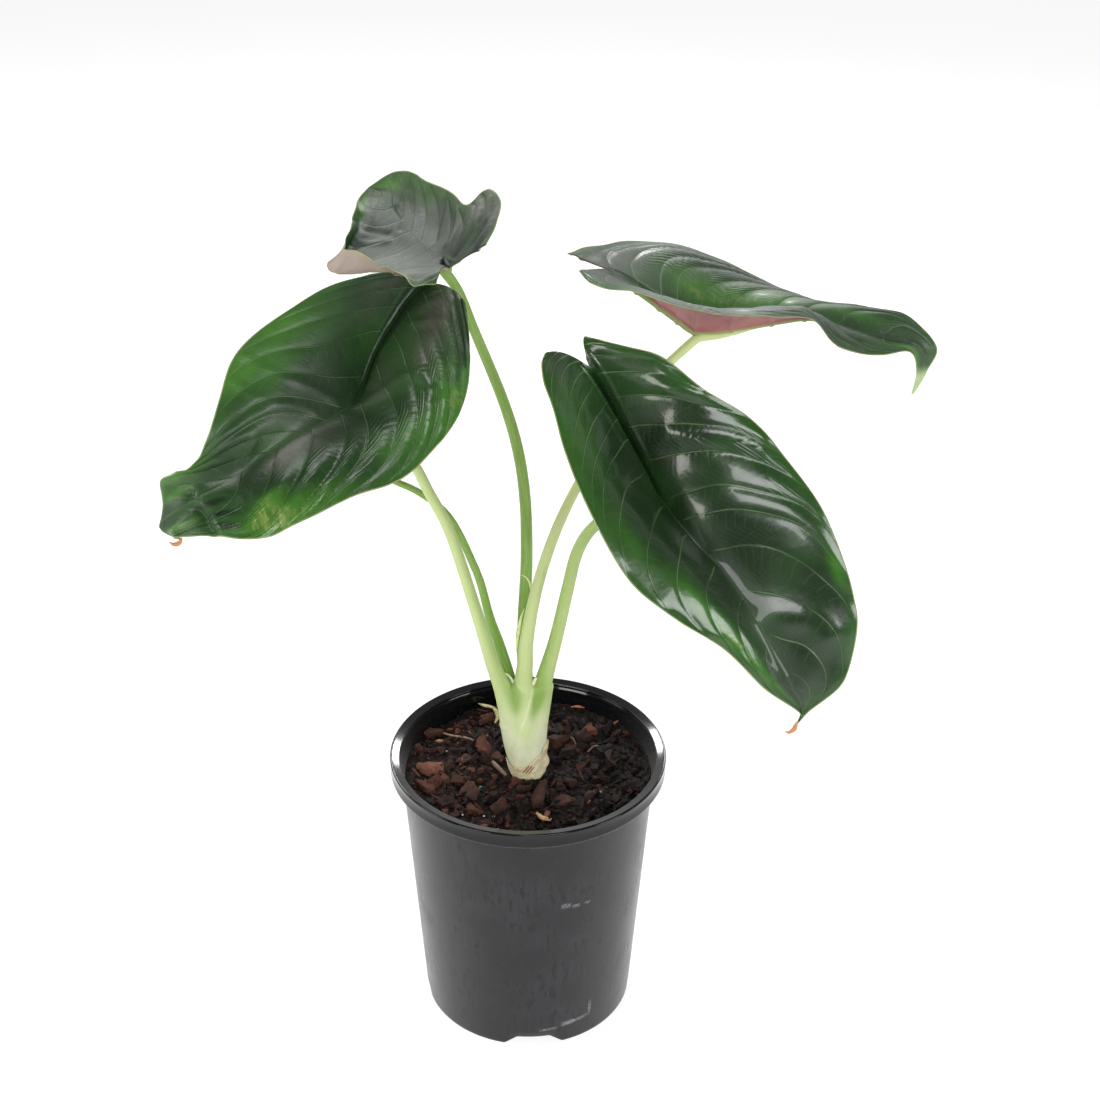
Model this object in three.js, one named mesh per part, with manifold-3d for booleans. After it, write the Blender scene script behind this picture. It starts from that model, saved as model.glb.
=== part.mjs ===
// An alocasia in a black nursery pot: five leaves on long stalks that sheathe one another in a
// short stem, standing in a bark mix. Millimetres, +Z up, the origin under the middle of the pot.

import * as THREE from 'three';
import { mergeVertices } from 'three/addons/utils/BufferGeometryUtils.js';
import Module from 'manifold-3d';

const wasm = await Module();
wasm.setup();

// Driving sizes of the pot
const POT_HEIGHT = 211;
const RIM_RADIUS = 100;
const BAND_HEIGHT = 11.5;
const BAND_THICKNESS = 2;
const LIP_WIDTH = 7.4;
const LIP_THICKNESS = 2.2;
const WALL_TOP_RADIUS = 92.6;
const FOOT_RADIUS = 77.5;
const WALL_THICKNESS = 1.8;
const FLOOR_THICKNESS = 2;
const FLOOR_DISC_RADIUS = 56;
const DRAIN_CHANNEL_HEIGHT = 9;
const DRAIN_CHANNEL_SLOPE = 4;
const EDGE_ROUND = 1.2;
const POT_SIDES = 56;

// Drain notches at the foot of the wall
const NOTCH_COUNT = 4;
const NOTCH_AZIMUTH = -87;
const NOTCH_HEIGHT = 8;
const NOTCH_FOOT_WIDTH = 43;
const NOTCH_TOP_WIDTH = 24;
const NOTCH_DEPTH = 12;

// Potting mix
const MIX_LEVEL = 195;
const LUMP_RISE = 1.6;
const CHIP_COUNT = 58;
const CHIP_SEED = 20;
const CHIP_LENGTH_MIN = 9;
const CHIP_LENGTH_MAX = 24;
const CHIP_HEIGHT = 6;
const CHIP_TILT = 0.6;
const CHIP_SUNK = 0.1;
const STEM_CLEARANCE = 17;
const MIX_RINGS = 6;
const MIX_SIDES = 40;

// Clearance between pieces that touch
const GAP = 0.3;

// Leaves
const BLADE_THICKNESS = 1;
const KEEL_DEPTH = 3.4;
const KEEL_WIDTH = 4;
const VEIN_PAIRS = 7;
const QUILT = 1.4;
const STATION_STEP = 8;
const ACROSS = [0, 0.07, 0.27, 0.52, 0.79, 1];

// Stalks
const STALK_SIDES = 9;
const STALK_STEPS = 17;
const SHEATH_WALL = 1.2;

const COLOURS = {
  pot: 0x1c1d20,
  mix: 0x35241b,
  stem: 0xdfe3b4,
  stalk: 0x9dbb62,
  blade: 0x2c4a26,
};

const v3 = (x, y, z) => new THREE.Vector3(x, y, z);
const rad = THREE.MathUtils.degToRad;

// Closed solids for joining and cutting, to and from meshes

function toSolid(geometry) {
  const bare = geometry.index ? geometry.clone() : geometry;
  bare.deleteAttribute('normal');
  bare.deleteAttribute('uv');
  const merged = mergeVertices(bare, 1e-4);
  return new wasm.Manifold(new wasm.Mesh({
    numProp: 3,
    vertProperties: new Float32Array(merged.attributes.position.array),
    triVerts: new Uint32Array(merged.index.array),
  }));
}

function toGeometry(solid) {
  const mesh = solid.getMesh();
  const geometry = new THREE.BufferGeometry();
  const corners = new Float32Array(mesh.vertProperties);
  geometry.setAttribute('position', new THREE.BufferAttribute(corners, 3));
  geometry.setIndex(new THREE.BufferAttribute(new Uint32Array(mesh.triVerts), 1));
  geometry.computeVertexNormals();
  return geometry;
}

// The biggest body of a solid: an end that was cut loose is dropped.
function biggest(solid) {
  const bodies = solid.decompose();
  return bodies.reduce((best, body) => (body.volume() > best.volume() ? body : best));
}

function meshGeometry(points, triangles) {
  const geometry = new THREE.BufferGeometry();
  const corners = points.flatMap((p) => p.toArray());
  geometry.setAttribute('position', new THREE.Float32BufferAttribute(corners, 3));
  geometry.setIndex(triangles.flat());
  return geometry;
}

// Smooth curve through points, one station a point

function smoothCurve(points) {
  return new THREE.CatmullRomCurve3(points.map((p) => v3(...p)), false, 'catmullrom', 0.5);
}

function smoothList(values) {
  const curve = smoothCurve(values.map((value) => [value, 0, 0]));
  return (u) => curve.getPoint(u).x;
}

// A closed tube of changing radius along a curve

function taperedTube(curve, radiusAt, sides = STALK_SIDES, steps = STALK_STEPS) {
  const frames = curve.computeFrenetFrames(steps, false);
  const points = [];
  const triangles = [];
  for (let i = 0; i <= steps; i += 1) {
    const centre = curve.getPointAt(i / steps);
    for (let j = 0; j < sides; j += 1) {
      const angle = (2 * Math.PI * j) / sides;
      const out = frames.normals[i].clone().multiplyScalar(Math.cos(angle))
        .addScaledVector(frames.binormals[i], Math.sin(angle));
      points.push(centre.clone().addScaledVector(out, radiusAt(i / steps)));
    }
  }
  for (let i = 0; i < steps; i += 1) {
    for (let j = 0; j < sides; j += 1) {
      const a = i * sides + j;
      const b = i * sides + ((j + 1) % sides);
      triangles.push([a, b, b + sides], [a, b + sides, a + sides]);
    }
  }
  for (let j = 1; j < sides - 1; j += 1) {
    const top = steps * sides;
    triangles.push([0, j + 1, j], [top, top + j, top + j + 1]);
  }
  return meshGeometry(points, triangles);
}

// A closed body of revolution round Z

function latheAboutZ(profile, sides) {
  const geometry = new THREE.LatheGeometry(profile.map(([r, z]) => new THREE.Vector2(r, z)), sides);
  return geometry.rotateX(Math.PI / 2);
}

// Pot: tapered wall, lip with a skirt round it, floor disc and raised drain channel

const bandBottom = POT_HEIGHT - BAND_HEIGHT;
const wallTaper = (WALL_TOP_RADIUS - FOOT_RADIUS) / POT_HEIGHT;
const wallRadius = (z) => FOOT_RADIUS + wallTaper * z;
const innerRadius = (z) => wallRadius(z) - WALL_THICKNESS;
const channelRadius = FLOOR_DISC_RADIUS + DRAIN_CHANNEL_SLOPE;
const channelFloor = DRAIN_CHANNEL_HEIGHT + FLOOR_THICKNESS;
const lipUnder = POT_HEIGHT - LIP_THICKNESS;

function potGeometry() {
  const profile = [
    [0, 0],
    [FLOOR_DISC_RADIUS, 0],
    [channelRadius, DRAIN_CHANNEL_HEIGHT],
    [innerRadius(DRAIN_CHANNEL_HEIGHT), DRAIN_CHANNEL_HEIGHT],
    [FOOT_RADIUS - WALL_THICKNESS, 0],
    [FOOT_RADIUS - EDGE_ROUND / 2, 0],
    [wallRadius(EDGE_ROUND), EDGE_ROUND],
    [wallRadius(POT_HEIGHT / 2), POT_HEIGHT / 2],
    [wallRadius(lipUnder), lipUnder],
    [RIM_RADIUS - BAND_THICKNESS, lipUnder],
    [RIM_RADIUS - BAND_THICKNESS - EDGE_ROUND / 2, bandBottom],
    [RIM_RADIUS - EDGE_ROUND, bandBottom],
    [RIM_RADIUS, bandBottom + EDGE_ROUND],
    [RIM_RADIUS, POT_HEIGHT - EDGE_ROUND],
    [RIM_RADIUS - EDGE_ROUND, POT_HEIGHT],
    [RIM_RADIUS - LIP_WIDTH, POT_HEIGHT],
    [innerRadius(lipUnder), lipUnder],
    [innerRadius(POT_HEIGHT / 2), POT_HEIGHT / 2],
    [innerRadius(channelFloor), channelFloor],
    [channelRadius - FLOOR_THICKNESS, channelFloor],
    [FLOOR_DISC_RADIUS - FLOOR_THICKNESS, FLOOR_THICKNESS],
    [0, FLOOR_THICKNESS],
  ];
  let pot = toSolid(latheAboutZ(profile, POT_SIDES));
  for (let i = 0; i < NOTCH_COUNT; i += 1) {
    pot = pot.subtract(notchSolid(NOTCH_AZIMUTH + (360 * i) / NOTCH_COUNT));
  }
  return toGeometry(pot);
}

// The block that cuts one notch: a trapezium, wider at the foot, pushed in through the wall
function notchSolid(azimuth) {
  const shape = new THREE.Shape();
  shape.moveTo(-NOTCH_FOOT_WIDTH / 2, -1);
  shape.lineTo(NOTCH_FOOT_WIDTH / 2, -1);
  shape.lineTo(NOTCH_TOP_WIDTH / 2, NOTCH_HEIGHT);
  shape.lineTo(-NOTCH_TOP_WIDTH / 2, NOTCH_HEIGHT);
  shape.closePath();
  const block = new THREE.ExtrudeGeometry(shape, { depth: NOTCH_DEPTH, bevelEnabled: false });
  block.rotateX(Math.PI / 2);
  block.translate(0, FOOT_RADIUS + NOTCH_DEPTH / 2, 0);
  block.rotateZ(rad(azimuth - 90));
  return toSolid(block);
}

// Potting mix: a lumpy top with flat bark chips sunk in it, its foot follows the pot's floor

// Draws numbers from 0 to 1 in a fixed order
function seededDraw(seed) {
  let state = seed;
  return () => {
    state = (state * 48271) % 2147483647;
    return state / 2147483647;
  };
}

const mixRadius = innerRadius(MIX_LEVEL) - GAP;

function lumpHeight(x, y) {
  const wave = Math.sin(x / 9 + 1.3 * Math.sin(y / 13)) * Math.cos(y / 8 - 0.7 * Math.sin(x / 17));
  return MIX_LEVEL + LUMP_RISE * wave;
}

function chipSolid(draw) {
  const length = THREE.MathUtils.lerp(CHIP_LENGTH_MIN, CHIP_LENGTH_MAX, draw() ** 2);
  const chip = new THREE.BoxGeometry(length, length * (0.35 + 0.35 * draw()), CHIP_HEIGHT);
  chip.rotateX(CHIP_TILT * (draw() - 0.5));
  chip.rotateY(CHIP_TILT * (draw() - 0.5));
  chip.rotateZ(2 * Math.PI * draw());
  const azimuth = 2 * Math.PI * draw();
  const reach = mixRadius - length / 2 - 3;
  const distance = THREE.MathUtils.lerp(STEM_CLEARANCE + length / 2, reach, Math.sqrt(draw()));
  const x = distance * Math.cos(azimuth);
  const y = distance * Math.sin(azimuth);
  chip.translate(x, y, lumpHeight(x, y) - CHIP_HEIGHT * CHIP_SUNK);
  return toSolid(chip);
}

function mixGeometry(stemHole) {
  const points = [v3(0, 0, MIX_LEVEL)];
  const rings = [];
  const addRing = (radius, height) => {
    rings.push(points.length);
    for (let j = 0; j < MIX_SIDES; j += 1) {
      const angle = (2 * Math.PI * j) / MIX_SIDES;
      const x = radius * Math.cos(angle);
      const y = radius * Math.sin(angle);
      points.push(v3(x, y, height(x, y)));
    }
  };
  for (let i = 1; i < MIX_RINGS; i += 1) {
    addRing((mixRadius * i) / MIX_RINGS, lumpHeight);
  }
  addRing(mixRadius - GAP, () => MIX_LEVEL - LUMP_RISE / 2);
  addRing(innerRadius(channelFloor) - GAP * 2, () => channelFloor + GAP);
  addRing(channelRadius - FLOOR_THICKNESS, () => channelFloor + GAP);
  addRing(FLOOR_DISC_RADIUS - FLOOR_THICKNESS - GAP * 2, () => FLOOR_THICKNESS + GAP);
  points.push(v3(0, 0, FLOOR_THICKNESS + GAP));
  const triangles = [];
  const last = rings.length - 1;
  for (let j = 0; j < MIX_SIDES; j += 1) {
    const next = (j + 1) % MIX_SIDES;
    triangles.push([0, rings[0] + j, rings[0] + next]);
    triangles.push([points.length - 1, rings[last] + next, rings[last] + j]);
    for (let i = 0; i < last; i += 1) {
      const a = rings[i];
      const b = rings[i + 1];
      triangles.push([a + j, b + j, b + next], [a + j, b + next, a + next]);
    }
  }
  const draw = seededDraw(CHIP_SEED);
  let mix = toSolid(meshGeometry(points, triangles));
  for (let i = 0; i < CHIP_COUNT; i += 1) {
    mix = mix.add(chipSolid(draw));
  }
  return toGeometry(biggest(mix.subtract(stemHole)));
}

// Leaves. A blade is drawn in its own frame: along the midrib towards the tip, across to the
// leaf's right, and rise above its plane. `at` is its origin, where the stalk meets the blade, and
// `turn` the compass direction of the tip, its droop below level and its roll, in degrees.
// Three rails run from the back of the blade to its tip: the spine starts at the notch between the
// lobes, the margins at the ends of the lobes. `archLeft` and `archRight` lift each half between
// spine and margin, `lobe` and `sweep` (mm) bow its cross lines towards the back, and `bulgeLeft`
// pushes one fold out. `stalk` is the stalk's middle line from the stem up in the shared frame,
// `radius` its radius from end to end, and `sheathTop` the share of it that its sheath wraps.

const LEAVES = {
  left: {
    at: [-107, -60, 515],
    turn: [-133, 18, 36],
    sweep: 8,
    lobe: 5,
    spine: [
      [-96, 27, 8], [-87, 31, 0], [-68, 28, -8], [-42, 20, -12], [-5, 3, -10], [24, 2, -3],
      [47, 6, 0], [77, 10, 0], [102, 13, -4], [125, 20, -12], [140, 24, -24], [131, 13, -38],
    ],
    left: [
      [-94, -2, 20], [-72, -24, 26], [-47, -44, 32], [-23, -56, 34], [1, -61, 34], [30, -61, 30],
      [60, -49, 26], [92, -39, 20], [113, -29, 10], [128, -7, -2], [139, 12, -20], [131, 13, -38],
    ],
    right: [
      [-86, 37, 12], [-63, 52, 20], [-32, 61, 27], [4, 63, 34], [34, 64, 34], [55, 60, 32],
      [77, 47, 30], [99, 34, 26], [112, 30, 16], [119, 37, 2], [123, 42, -18], [131, 13, -38],
    ],
    archLeft: [0, 3, 5, 7, 8, 8, 8, 7, 5, 3, 0, 0],
    archRight: [0, 3, 5, 7, 8, 8, 8, 7, 5, 3, 0, 0],
    stalk: [
      [-14, -5, 248], [-18, -6, 268], [-25, -8, 292], [-32, -10, 321], [-38, -12, 345], [-46, -17, 379],
      [-54, -24, 410], [-64, -31, 436], [-74, -39, 463], [-89, -48, 489],
    ],
    radius: [6.4, 6, 5.2, 4.6, 4.2, 4, 3.8, 3.7, 3.6, 3.6, 3.8],
    sheathTop: 0.11,
  },
  right: {
    at: [87, -80, 452],
    turn: [-41.5, 49, -20],
    sweep: 8,
    lobe: 5,
    spine: [
      [-100, 3, 10], [-84, -1, 2], [-59, -4, -5], [-29, -5, -9], [1, -3, -8], [26, -5, -3],
      [54, -11, 0], [82, -14, 0], [114, -15, -4], [138, -18, -10], [157, -21, -18], [163, -12, -22],
    ],
    left: [
      [-118, -3, 14], [-101, -16, 26], [-83, -32, 34], [-53, -44, 38], [-23, -62, 38], [14, -72, 36],
      [47, -77, 32], [88, -76, 24], [121, -72, 12], [151, -52, -4], [159, -24, -18], [163, -13, -24],
    ],
    right: [
      [-119, 31, 22], [-110, 41, 28], [-88, 49, 34], [-63, 57, 38], [-34, 62, 38], [1, 63, 34],
      [34, 57, 28], [64, 40, 20], [95, 17, 8], [130, 0, -6], [157, -19, -18], [163, -13, -24],
    ],
    archLeft: [0, 3, 5, 7, 8, 8, 8, 7, 5, 3, 0, 0],
    archRight: [0, 3, 5, 7, 8, 8, 8, 7, 5, 3, 0, 0],
    stalk: [
      [7, -2, 248], [10, -3, 268], [15, -4, 290], [20, -5, 312], [27, -9, 351], [33, -16, 384],
      [42, -27, 408], [55, -42, 427], [70, -60, 441],
    ],
    radius: [6.8, 6.4, 5.4, 4.8, 4.4, 4.2, 4, 3.8, 3.8, 4],
    sheathTop: 0.14,
  },
  top_right: {
    at: [114, 60, 512],
    turn: [15, 18, -5],
    sweep: 8,
    lobe: 4,
    spine: [
      [-76, -4, 29], [-58, -3, 24], [-37, -1, 16], [-15, 0, 7], [2, 0, 1], [30, -3, 8],
      [57, -5, 18], [82, -7, 25], [114, -8, 23], [150, -9, 22], [175, -10, 21], [183, -8, 4],
      [182, -7, -14],
    ],
    left: [
      [-93, -39, 21], [-66, -58, 24], [-38, -70, 28], [-7, -72, 33], [30, -69, 30], [68, -63, 24],
      [94, -57, 22], [114, -48, 22], [133, -38, 31], [164, -26, 36], [188, -14, 23], [187, -9, 5],
      [184, -8, -14],
    ],
    right: [
      [-105, 20, 32], [-97, 39, 32], [-84, 53, 39], [-66, 61, 41], [-40, 64, 41], [-10, 63, 42],
      [23, 53, 44], [57, 37, 41], [94, 24, 21], [135, 8, 16], [165, -6, 18], [179, -8, 3],
      [182, -7, -14],
    ],
    archLeft: [0, 3, 5, 7, 8, 8, 8, 7, 5, 3, 0, 0, 0],
    archRight: [0, 3, 5, 7, 8, 8, 8, 7, 5, 3, 0, 0, 0],
    stalk: [
      [-4, -10, 248], [-4, -10, 268], [-2, -9, 290], [-1, -8, 310], [5, -2, 343], [13, 6, 370],
      [23, 14, 395], [36, 23, 419], [59, 37, 454], [83, 50, 481],
    ],
    radius: [6.4, 6.2, 5.6, 5, 4.2, 3.9, 3.7, 3.5, 3.3, 3.2, 3.4],
    sheathTop: 0.1,
  },
  top_left: {
    at: [-56, 45, 564],
    turn: [114, -4, 0],
    sweep: 3,
    lobe: -1,
    spine: [
      [-18, -3, 8], [-13, -2, 6], [-7, -2, 5], [1, -1, 4], [16, 0, 4], [33, 0, 4],
      [51, 0, 5], [69, 0, 6], [87, 0, 7], [104, -1, 8], [119, -2, 8], [129, -5, 8],
    ],
    left: [
      [-49, -24, 14], [-49, -39, 15], [-34, -41, 16], [-17, -45, 15], [-4, -46, 10], [11, -45, 12],
      [26, -45, 11], [43, -49, 6], [67, -40, 6], [93, -28, 8], [115, -17, 7], [129, -5, 8],
    ],
    right: [
      [-58, 6, 39], [-51, 18, 57], [-35, 22, 63], [-10, 24, 55], [21, 25, 33], [50, 28, 29],
      [74, 28, 25], [95, 25, 22], [109, 23, 22], [120, 17, 21], [127, 8, 16], [129, -5, 8],
    ],
    archLeft: [4, 4, 2, -2, -6, -10, -12, -10, -8, -6, -4, 0],
    archRight: [0, 2, 2, 0, -4, -7, -9, -9, -8, -6, -4, 0],
    bulgeLeft: { station: 0.56, across: 0.74, length: 0.13, width: 0.2, push: [0, -32, -8] },
    stalk: [
      [-2, 9, 248], [-2, 10, 268], [-3, 13, 290], [-3, 16, 312], [-1, 21, 358], [-2, 27, 402],
      [-7, 32, 438], [-17, 37, 473], [-36, 42, 522], [-46, 45, 548],
    ],
    radius: [5.6, 5.4, 5, 4.6, 4.3, 4.1, 4, 3.8, 3.5, 3.4, 3.8],
    sheathTop: 0.09,
  },
  hidden: {
    at: [-128, 17, 459],
    turn: [-170, 26, 12],
    sweep: 4,
    lobe: 4,
    spine: [
      [-40, 0, 5], [-32, 0, 0], [-21, 0, -3], [-10, 0, -4], [0, 0, -3], [17, 0, 0],
      [34, 0, 1], [52, 0, 1], [70, 0, -2], [86, 0, -7], [98, 0, -13], [108, 1, -20],
    ],
    left: [
      [-56, -13, 9], [-51, -26, 12], [-39, -35, 14], [-24, -41, 15], [-6, -44, 15], [15, -43, 13],
      [36, -38, 10], [56, -31, 6], [74, -21, 0], [89, -11, -7], [100, -3, -13], [108, 1, -20],
    ],
    right: [
      [-58, 12, 8], [-54, 26, 11], [-42, 36, 13], [-27, 42, 14], [-9, 45, 14], [12, 44, 12],
      [34, 40, 9], [55, 33, 5], [74, 23, 0], [89, 12, -7], [100, 4, -13], [108, 1, -20],
    ],
    archLeft: [0, 1, 2, 4, 5, 5, 4, 4, 3, 2, 0, 0],
    archRight: [0, 1, 2, 4, 5, 5, 4, 4, 3, 2, 0, 0],
    stalk: [
      [-10, 5, 248], [-13, 6, 268], [-20, 8, 296], [-27, 9, 319], [-33, 10, 346], [-39, 11, 363],
      [-47, 12, 383], [-55, 12, 398], [-65, 13, 408], [-78, 14, 417], [-94, 14, 425], [-111, 15, 438],
    ],
    radius: [4.4, 4.2, 3.7, 3.3, 3, 2.9, 2.8, 2.7, 2.6, 2.5, 2.4, 2.4, 2.6],
    sheathTop: 0.1,
  },
};

function leafFrame([azimuth, droop, roll]) {
  const along = v3(
    Math.cos(rad(droop)) * Math.cos(rad(azimuth)),
    Math.cos(rad(droop)) * Math.sin(rad(azimuth)),
    -Math.sin(rad(droop)),
  );
  const level = v3(Math.sin(rad(azimuth)), -Math.cos(rad(azimuth)), 0);
  const upright = level.clone().cross(along);
  const across = level.clone().applyAxisAngle(along, -rad(roll));
  const rise = upright.clone().applyAxisAngle(along, -rad(roll));
  return { along, across, rise };
}

// Gives the function from (share of length s, share of half width t) to a point of one half
function halfBlade(leaf, side) {
  const spine = smoothCurve(leaf.spine);
  const margin = smoothCurve(leaf[side]);
  const arch = smoothList(side === 'left' ? leaf.archLeft : leaf.archRight);
  const bulge = side === 'left' ? leaf.bulgeLeft : undefined;
  return (s, t) => {
    const point = spine.getPoint(s).lerp(margin.getPoint(s), t);
    const middle = 4 * t * (1 - t);
    point.x -= leaf.sweep * middle * Math.min(1, 4 * s * (1 - s));
    point.x -= leaf.lobe * middle * Math.exp(-((s / 0.12) ** 2));
    point.z += arch(s) * middle;
    const quilt = Math.abs(Math.sin(Math.PI * VEIN_PAIRS * s)) - 0.6;
    point.z += QUILT * quilt * Math.sin(Math.PI * Math.min(1, 1.15 * t)) * Math.min(1, 5 * (1 - s));
    if (bulge) {
      const near = Math.exp(-(((s - bulge.station) / bulge.length) ** 2)
        - ((t - bulge.across) / bulge.width) ** 2);
      point.addScaledVector(v3(...bulge.push), near);
    }
    return point;
  };
}

// The blade's middle surface as rows of points in the shared frame, left margin to right margin
function bladeRows(leaf) {
  const back = Math.min(leaf.left[0][0], leaf.right[0][0]);
  const stations = Math.round((leaf.spine.at(-1)[0] - back) / STATION_STEP);
  const { along, across, rise } = leafFrame(leaf.turn);
  const place = (p) => v3(...leaf.at).addScaledVector(along, p.x).addScaledVector(across, p.y)
    .addScaledVector(rise, p.z);
  const left = halfBlade(leaf, 'left');
  const right = halfBlade(leaf, 'right');
  const rows = [];
  for (let i = 0; i < stations; i += 1) {
    const s = i / stations;
    const row = ACROSS.slice(1).reverse().map((t) => place(left(s, t)));
    row.push(...ACROSS.map((t) => place(right(s, t))));
    rows.push(row);
  }
  return { rows, tip: place(left(1, 0)), rise };
}

// A thin closed shell: the rows offset to both faces, with a keel under the spine, and one point
// of each face at the tip. `extra` thickens it all round.
function bladeGeometry(leaf, extra = 0) {
  const { rows, tip, rise } = bladeRows(leaf);
  const width = rows[0].length;
  const spineColumn = (width - 1) / 2;
  const normalAt = (i, j) => {
    const ahead = (rows[i + 1] ?? [])[j] ?? tip;
    const behind = rows[Math.max(0, i - 1)][j];
    const lengthwise = ahead.clone().sub(behind);
    const widthwise = rows[i][Math.min(width - 1, j + 1)].clone().sub(rows[i][Math.max(0, j - 1)]);
    return widthwise.cross(lengthwise).normalize();
  };
  const half = BLADE_THICKNESS / 2 + extra;
  const upper = [];
  const lower = [];
  rows.forEach((row, i) => {
    row.forEach((point, j) => {
      const normal = normalAt(i, j);
      const grow = v3(0, 0, 0);
      if (extra && (j === 0 || j === width - 1)) {
        grow.subVectors(point, row[j === 0 ? 1 : width - 2]).setLength(extra);
      }
      const fromSpine = point.distanceTo(row[spineColumn]) / KEEL_WIDTH;
      const keel = KEEL_DEPTH * Math.exp(-(fromSpine ** 2)) * (1 - i / rows.length);
      upper.push(point.clone().add(grow).addScaledVector(normal, half));
      lower.push(point.clone().add(grow).addScaledVector(normal, -half - keel));
    });
  });
  const tipPoints = [half, -half].map((lift) => tip.clone().addScaledVector(rise, lift));
  const points = [...upper, ...lower, ...tipPoints];
  const below = upper.length;
  const tipUpper = below * 2;
  const tipLower = tipUpper + 1;
  const triangles = [];
  const at = (i, j) => i * width + j;
  const quad = (a, b, c, d) => triangles.push([a, b, c], [a, c, d]);
  const lastRow = rows.length - 1;
  const wide = width - 1;
  for (let i = 0; i < lastRow; i += 1) {
    for (let j = 0; j < wide; j += 1) {
      const [a, b, c, d] = [at(i, j), at(i, j + 1), at(i + 1, j + 1), at(i + 1, j)];
      triangles.push([a, b, c], [a, c, d]);
      triangles.push([a + below, c + below, b + below], [a + below, d + below, c + below]);
    }
    quad(at(i, 0), at(i + 1, 0), at(i + 1, 0) + below, at(i, 0) + below);
    quad(at(i + 1, wide), at(i, wide), at(i, wide) + below, at(i + 1, wide) + below);
  }
  for (let j = 0; j < wide; j += 1) {
    quad(at(0, j + 1), at(0, j), at(0, j) + below, at(0, j + 1) + below);
    triangles.push([at(lastRow, j), at(lastRow, j + 1), tipUpper]);
    triangles.push([at(lastRow, j + 1) + below, at(lastRow, j) + below, tipLower]);
  }
  quad(at(lastRow, 0), tipUpper, tipLower, at(lastRow, 0) + below);
  quad(tipUpper, at(lastRow, wide), at(lastRow, wide) + below, tipLower);
  return meshGeometry(points, triangles);
}

// The stalk meets the blade at the spine's station nearest `at`
function funnelPoint(leaf) {
  const { along, across, rise } = leafFrame(leaf.turn);
  const [x, y, z] = leaf.spine.reduce((best, p) => (Math.hypot(...p) < Math.hypot(...best) ? p : best));
  return v3(...leaf.at).addScaledVector(along, x).addScaledVector(across, y).addScaledVector(rise, z);
}

function stalkCurve(leaf) {
  return new THREE.CatmullRomCurve3([...leaf.stalk.map((p) => v3(...p)), funnelPoint(leaf)]);
}

function stalkSolid(leaf, extra = 0) {
  const radius = smoothList(leaf.radius);
  return toSolid(taperedTube(stalkCurve(leaf), (u) => radius(u) + extra));
}

// Stem: a short round base under the sheaths, as a stack of rings [x, y, z, radius]

const STEM_RINGS = [
  [0, 0, 150, 10],
  [0, 0, 172, 12],
  [-0.5, -2, 194, 12.5],
  [-2, -3, 207, 14.3],
  [-3, -3, 222, 15],
  [-4, -2, 239, 15.6],
  [-4, -1, 252, 16.2],
  [-4, -1, 260, 15],
];

function stemCore(extra = 0) {
  const centre = new THREE.CatmullRomCurve3(STEM_RINGS.map(([x, y, z]) => v3(x, y, z)));
  const radius = smoothList(STEM_RINGS.map((ring) => ring[3]));
  return toSolid(taperedTube(centre, (u) => radius(u) + extra, 16, STEM_RINGS.length));
}

// A sheath hugs the first stretch of its stalk
function sheathSolid(leaf) {
  const whole = stalkCurve(leaf);
  const stretch = new THREE.CatmullRomCurve3(
    [0, 0.25, 0.5, 0.75, 1].map((share) => whole.getPointAt(share * leaf.sheathTop)),
  );
  const radius = smoothList(leaf.radius);
  const wall = (u) => radius(u * leaf.sheathTop) + SHEATH_WALL;
  return toSolid(taperedTube(stretch, wall, STALK_SIDES, 4));
}

// Assembly

const plant = new THREE.Group();

function add(name, geometry, colour, roughness) {
  const material = new THREE.MeshStandardMaterial({ color: colour, roughness, metalness: 0 });
  const mesh = new THREE.Mesh(geometry, material);
  mesh.name = name;
  plant.add(mesh);
}

const names = Object.keys(LEAVES);
const stalks = {};
names.forEach((name, index) => {
  const leaf = LEAVES[name];
  let stalk = stalkSolid(leaf);
  names.slice(0, index).forEach((other) => {
    stalk = stalk.subtract(stalkSolid(LEAVES[other], GAP));
  });
  stalk = stalk.subtract(toSolid(bladeGeometry(leaf, GAP)));
  stalks[name] = biggest(stalk);
});

let stem = stemCore();
names.forEach((name) => {
  stem = stem.add(sheathSolid(LEAVES[name]));
});
names.forEach((name) => {
  stem = stem.subtract(stalkSolid(LEAVES[name], GAP));
});

add('pot', potGeometry(), COLOURS.pot, 0.4);
add('potting_mix', mixGeometry(stemCore(GAP)), COLOURS.mix, 0.95);
add('stem', toGeometry(biggest(stem)), COLOURS.stem, 0.5);
names.forEach((name) => {
  add(`stalk_${name}`, toGeometry(stalks[name]), COLOURS.stalk, 0.4);
  add(`blade_${name}`, bladeGeometry(LEAVES[name]), COLOURS.blade, 0.3);
});

export default plant;
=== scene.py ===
"""Dresses the alocasia in its nursery pot: fine leaves, stalks, stem, pot and potting mix.

The frame is in metres with +Z up. Sizes below are in millimetres, as in the part itself, and
are scaled by MM when they become points of a mesh.
"""

from math import cos, pi, radians, sin

import bmesh
import bpy
import numpy as np
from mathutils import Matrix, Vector
from mathutils.bvhtree import BVHTree


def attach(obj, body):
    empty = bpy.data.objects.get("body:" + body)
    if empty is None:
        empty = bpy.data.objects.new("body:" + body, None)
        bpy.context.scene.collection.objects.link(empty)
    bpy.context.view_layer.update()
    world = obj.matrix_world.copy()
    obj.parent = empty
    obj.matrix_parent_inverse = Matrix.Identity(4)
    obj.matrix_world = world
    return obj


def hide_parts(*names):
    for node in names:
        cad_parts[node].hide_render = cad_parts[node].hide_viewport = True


MM = 0.001

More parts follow.
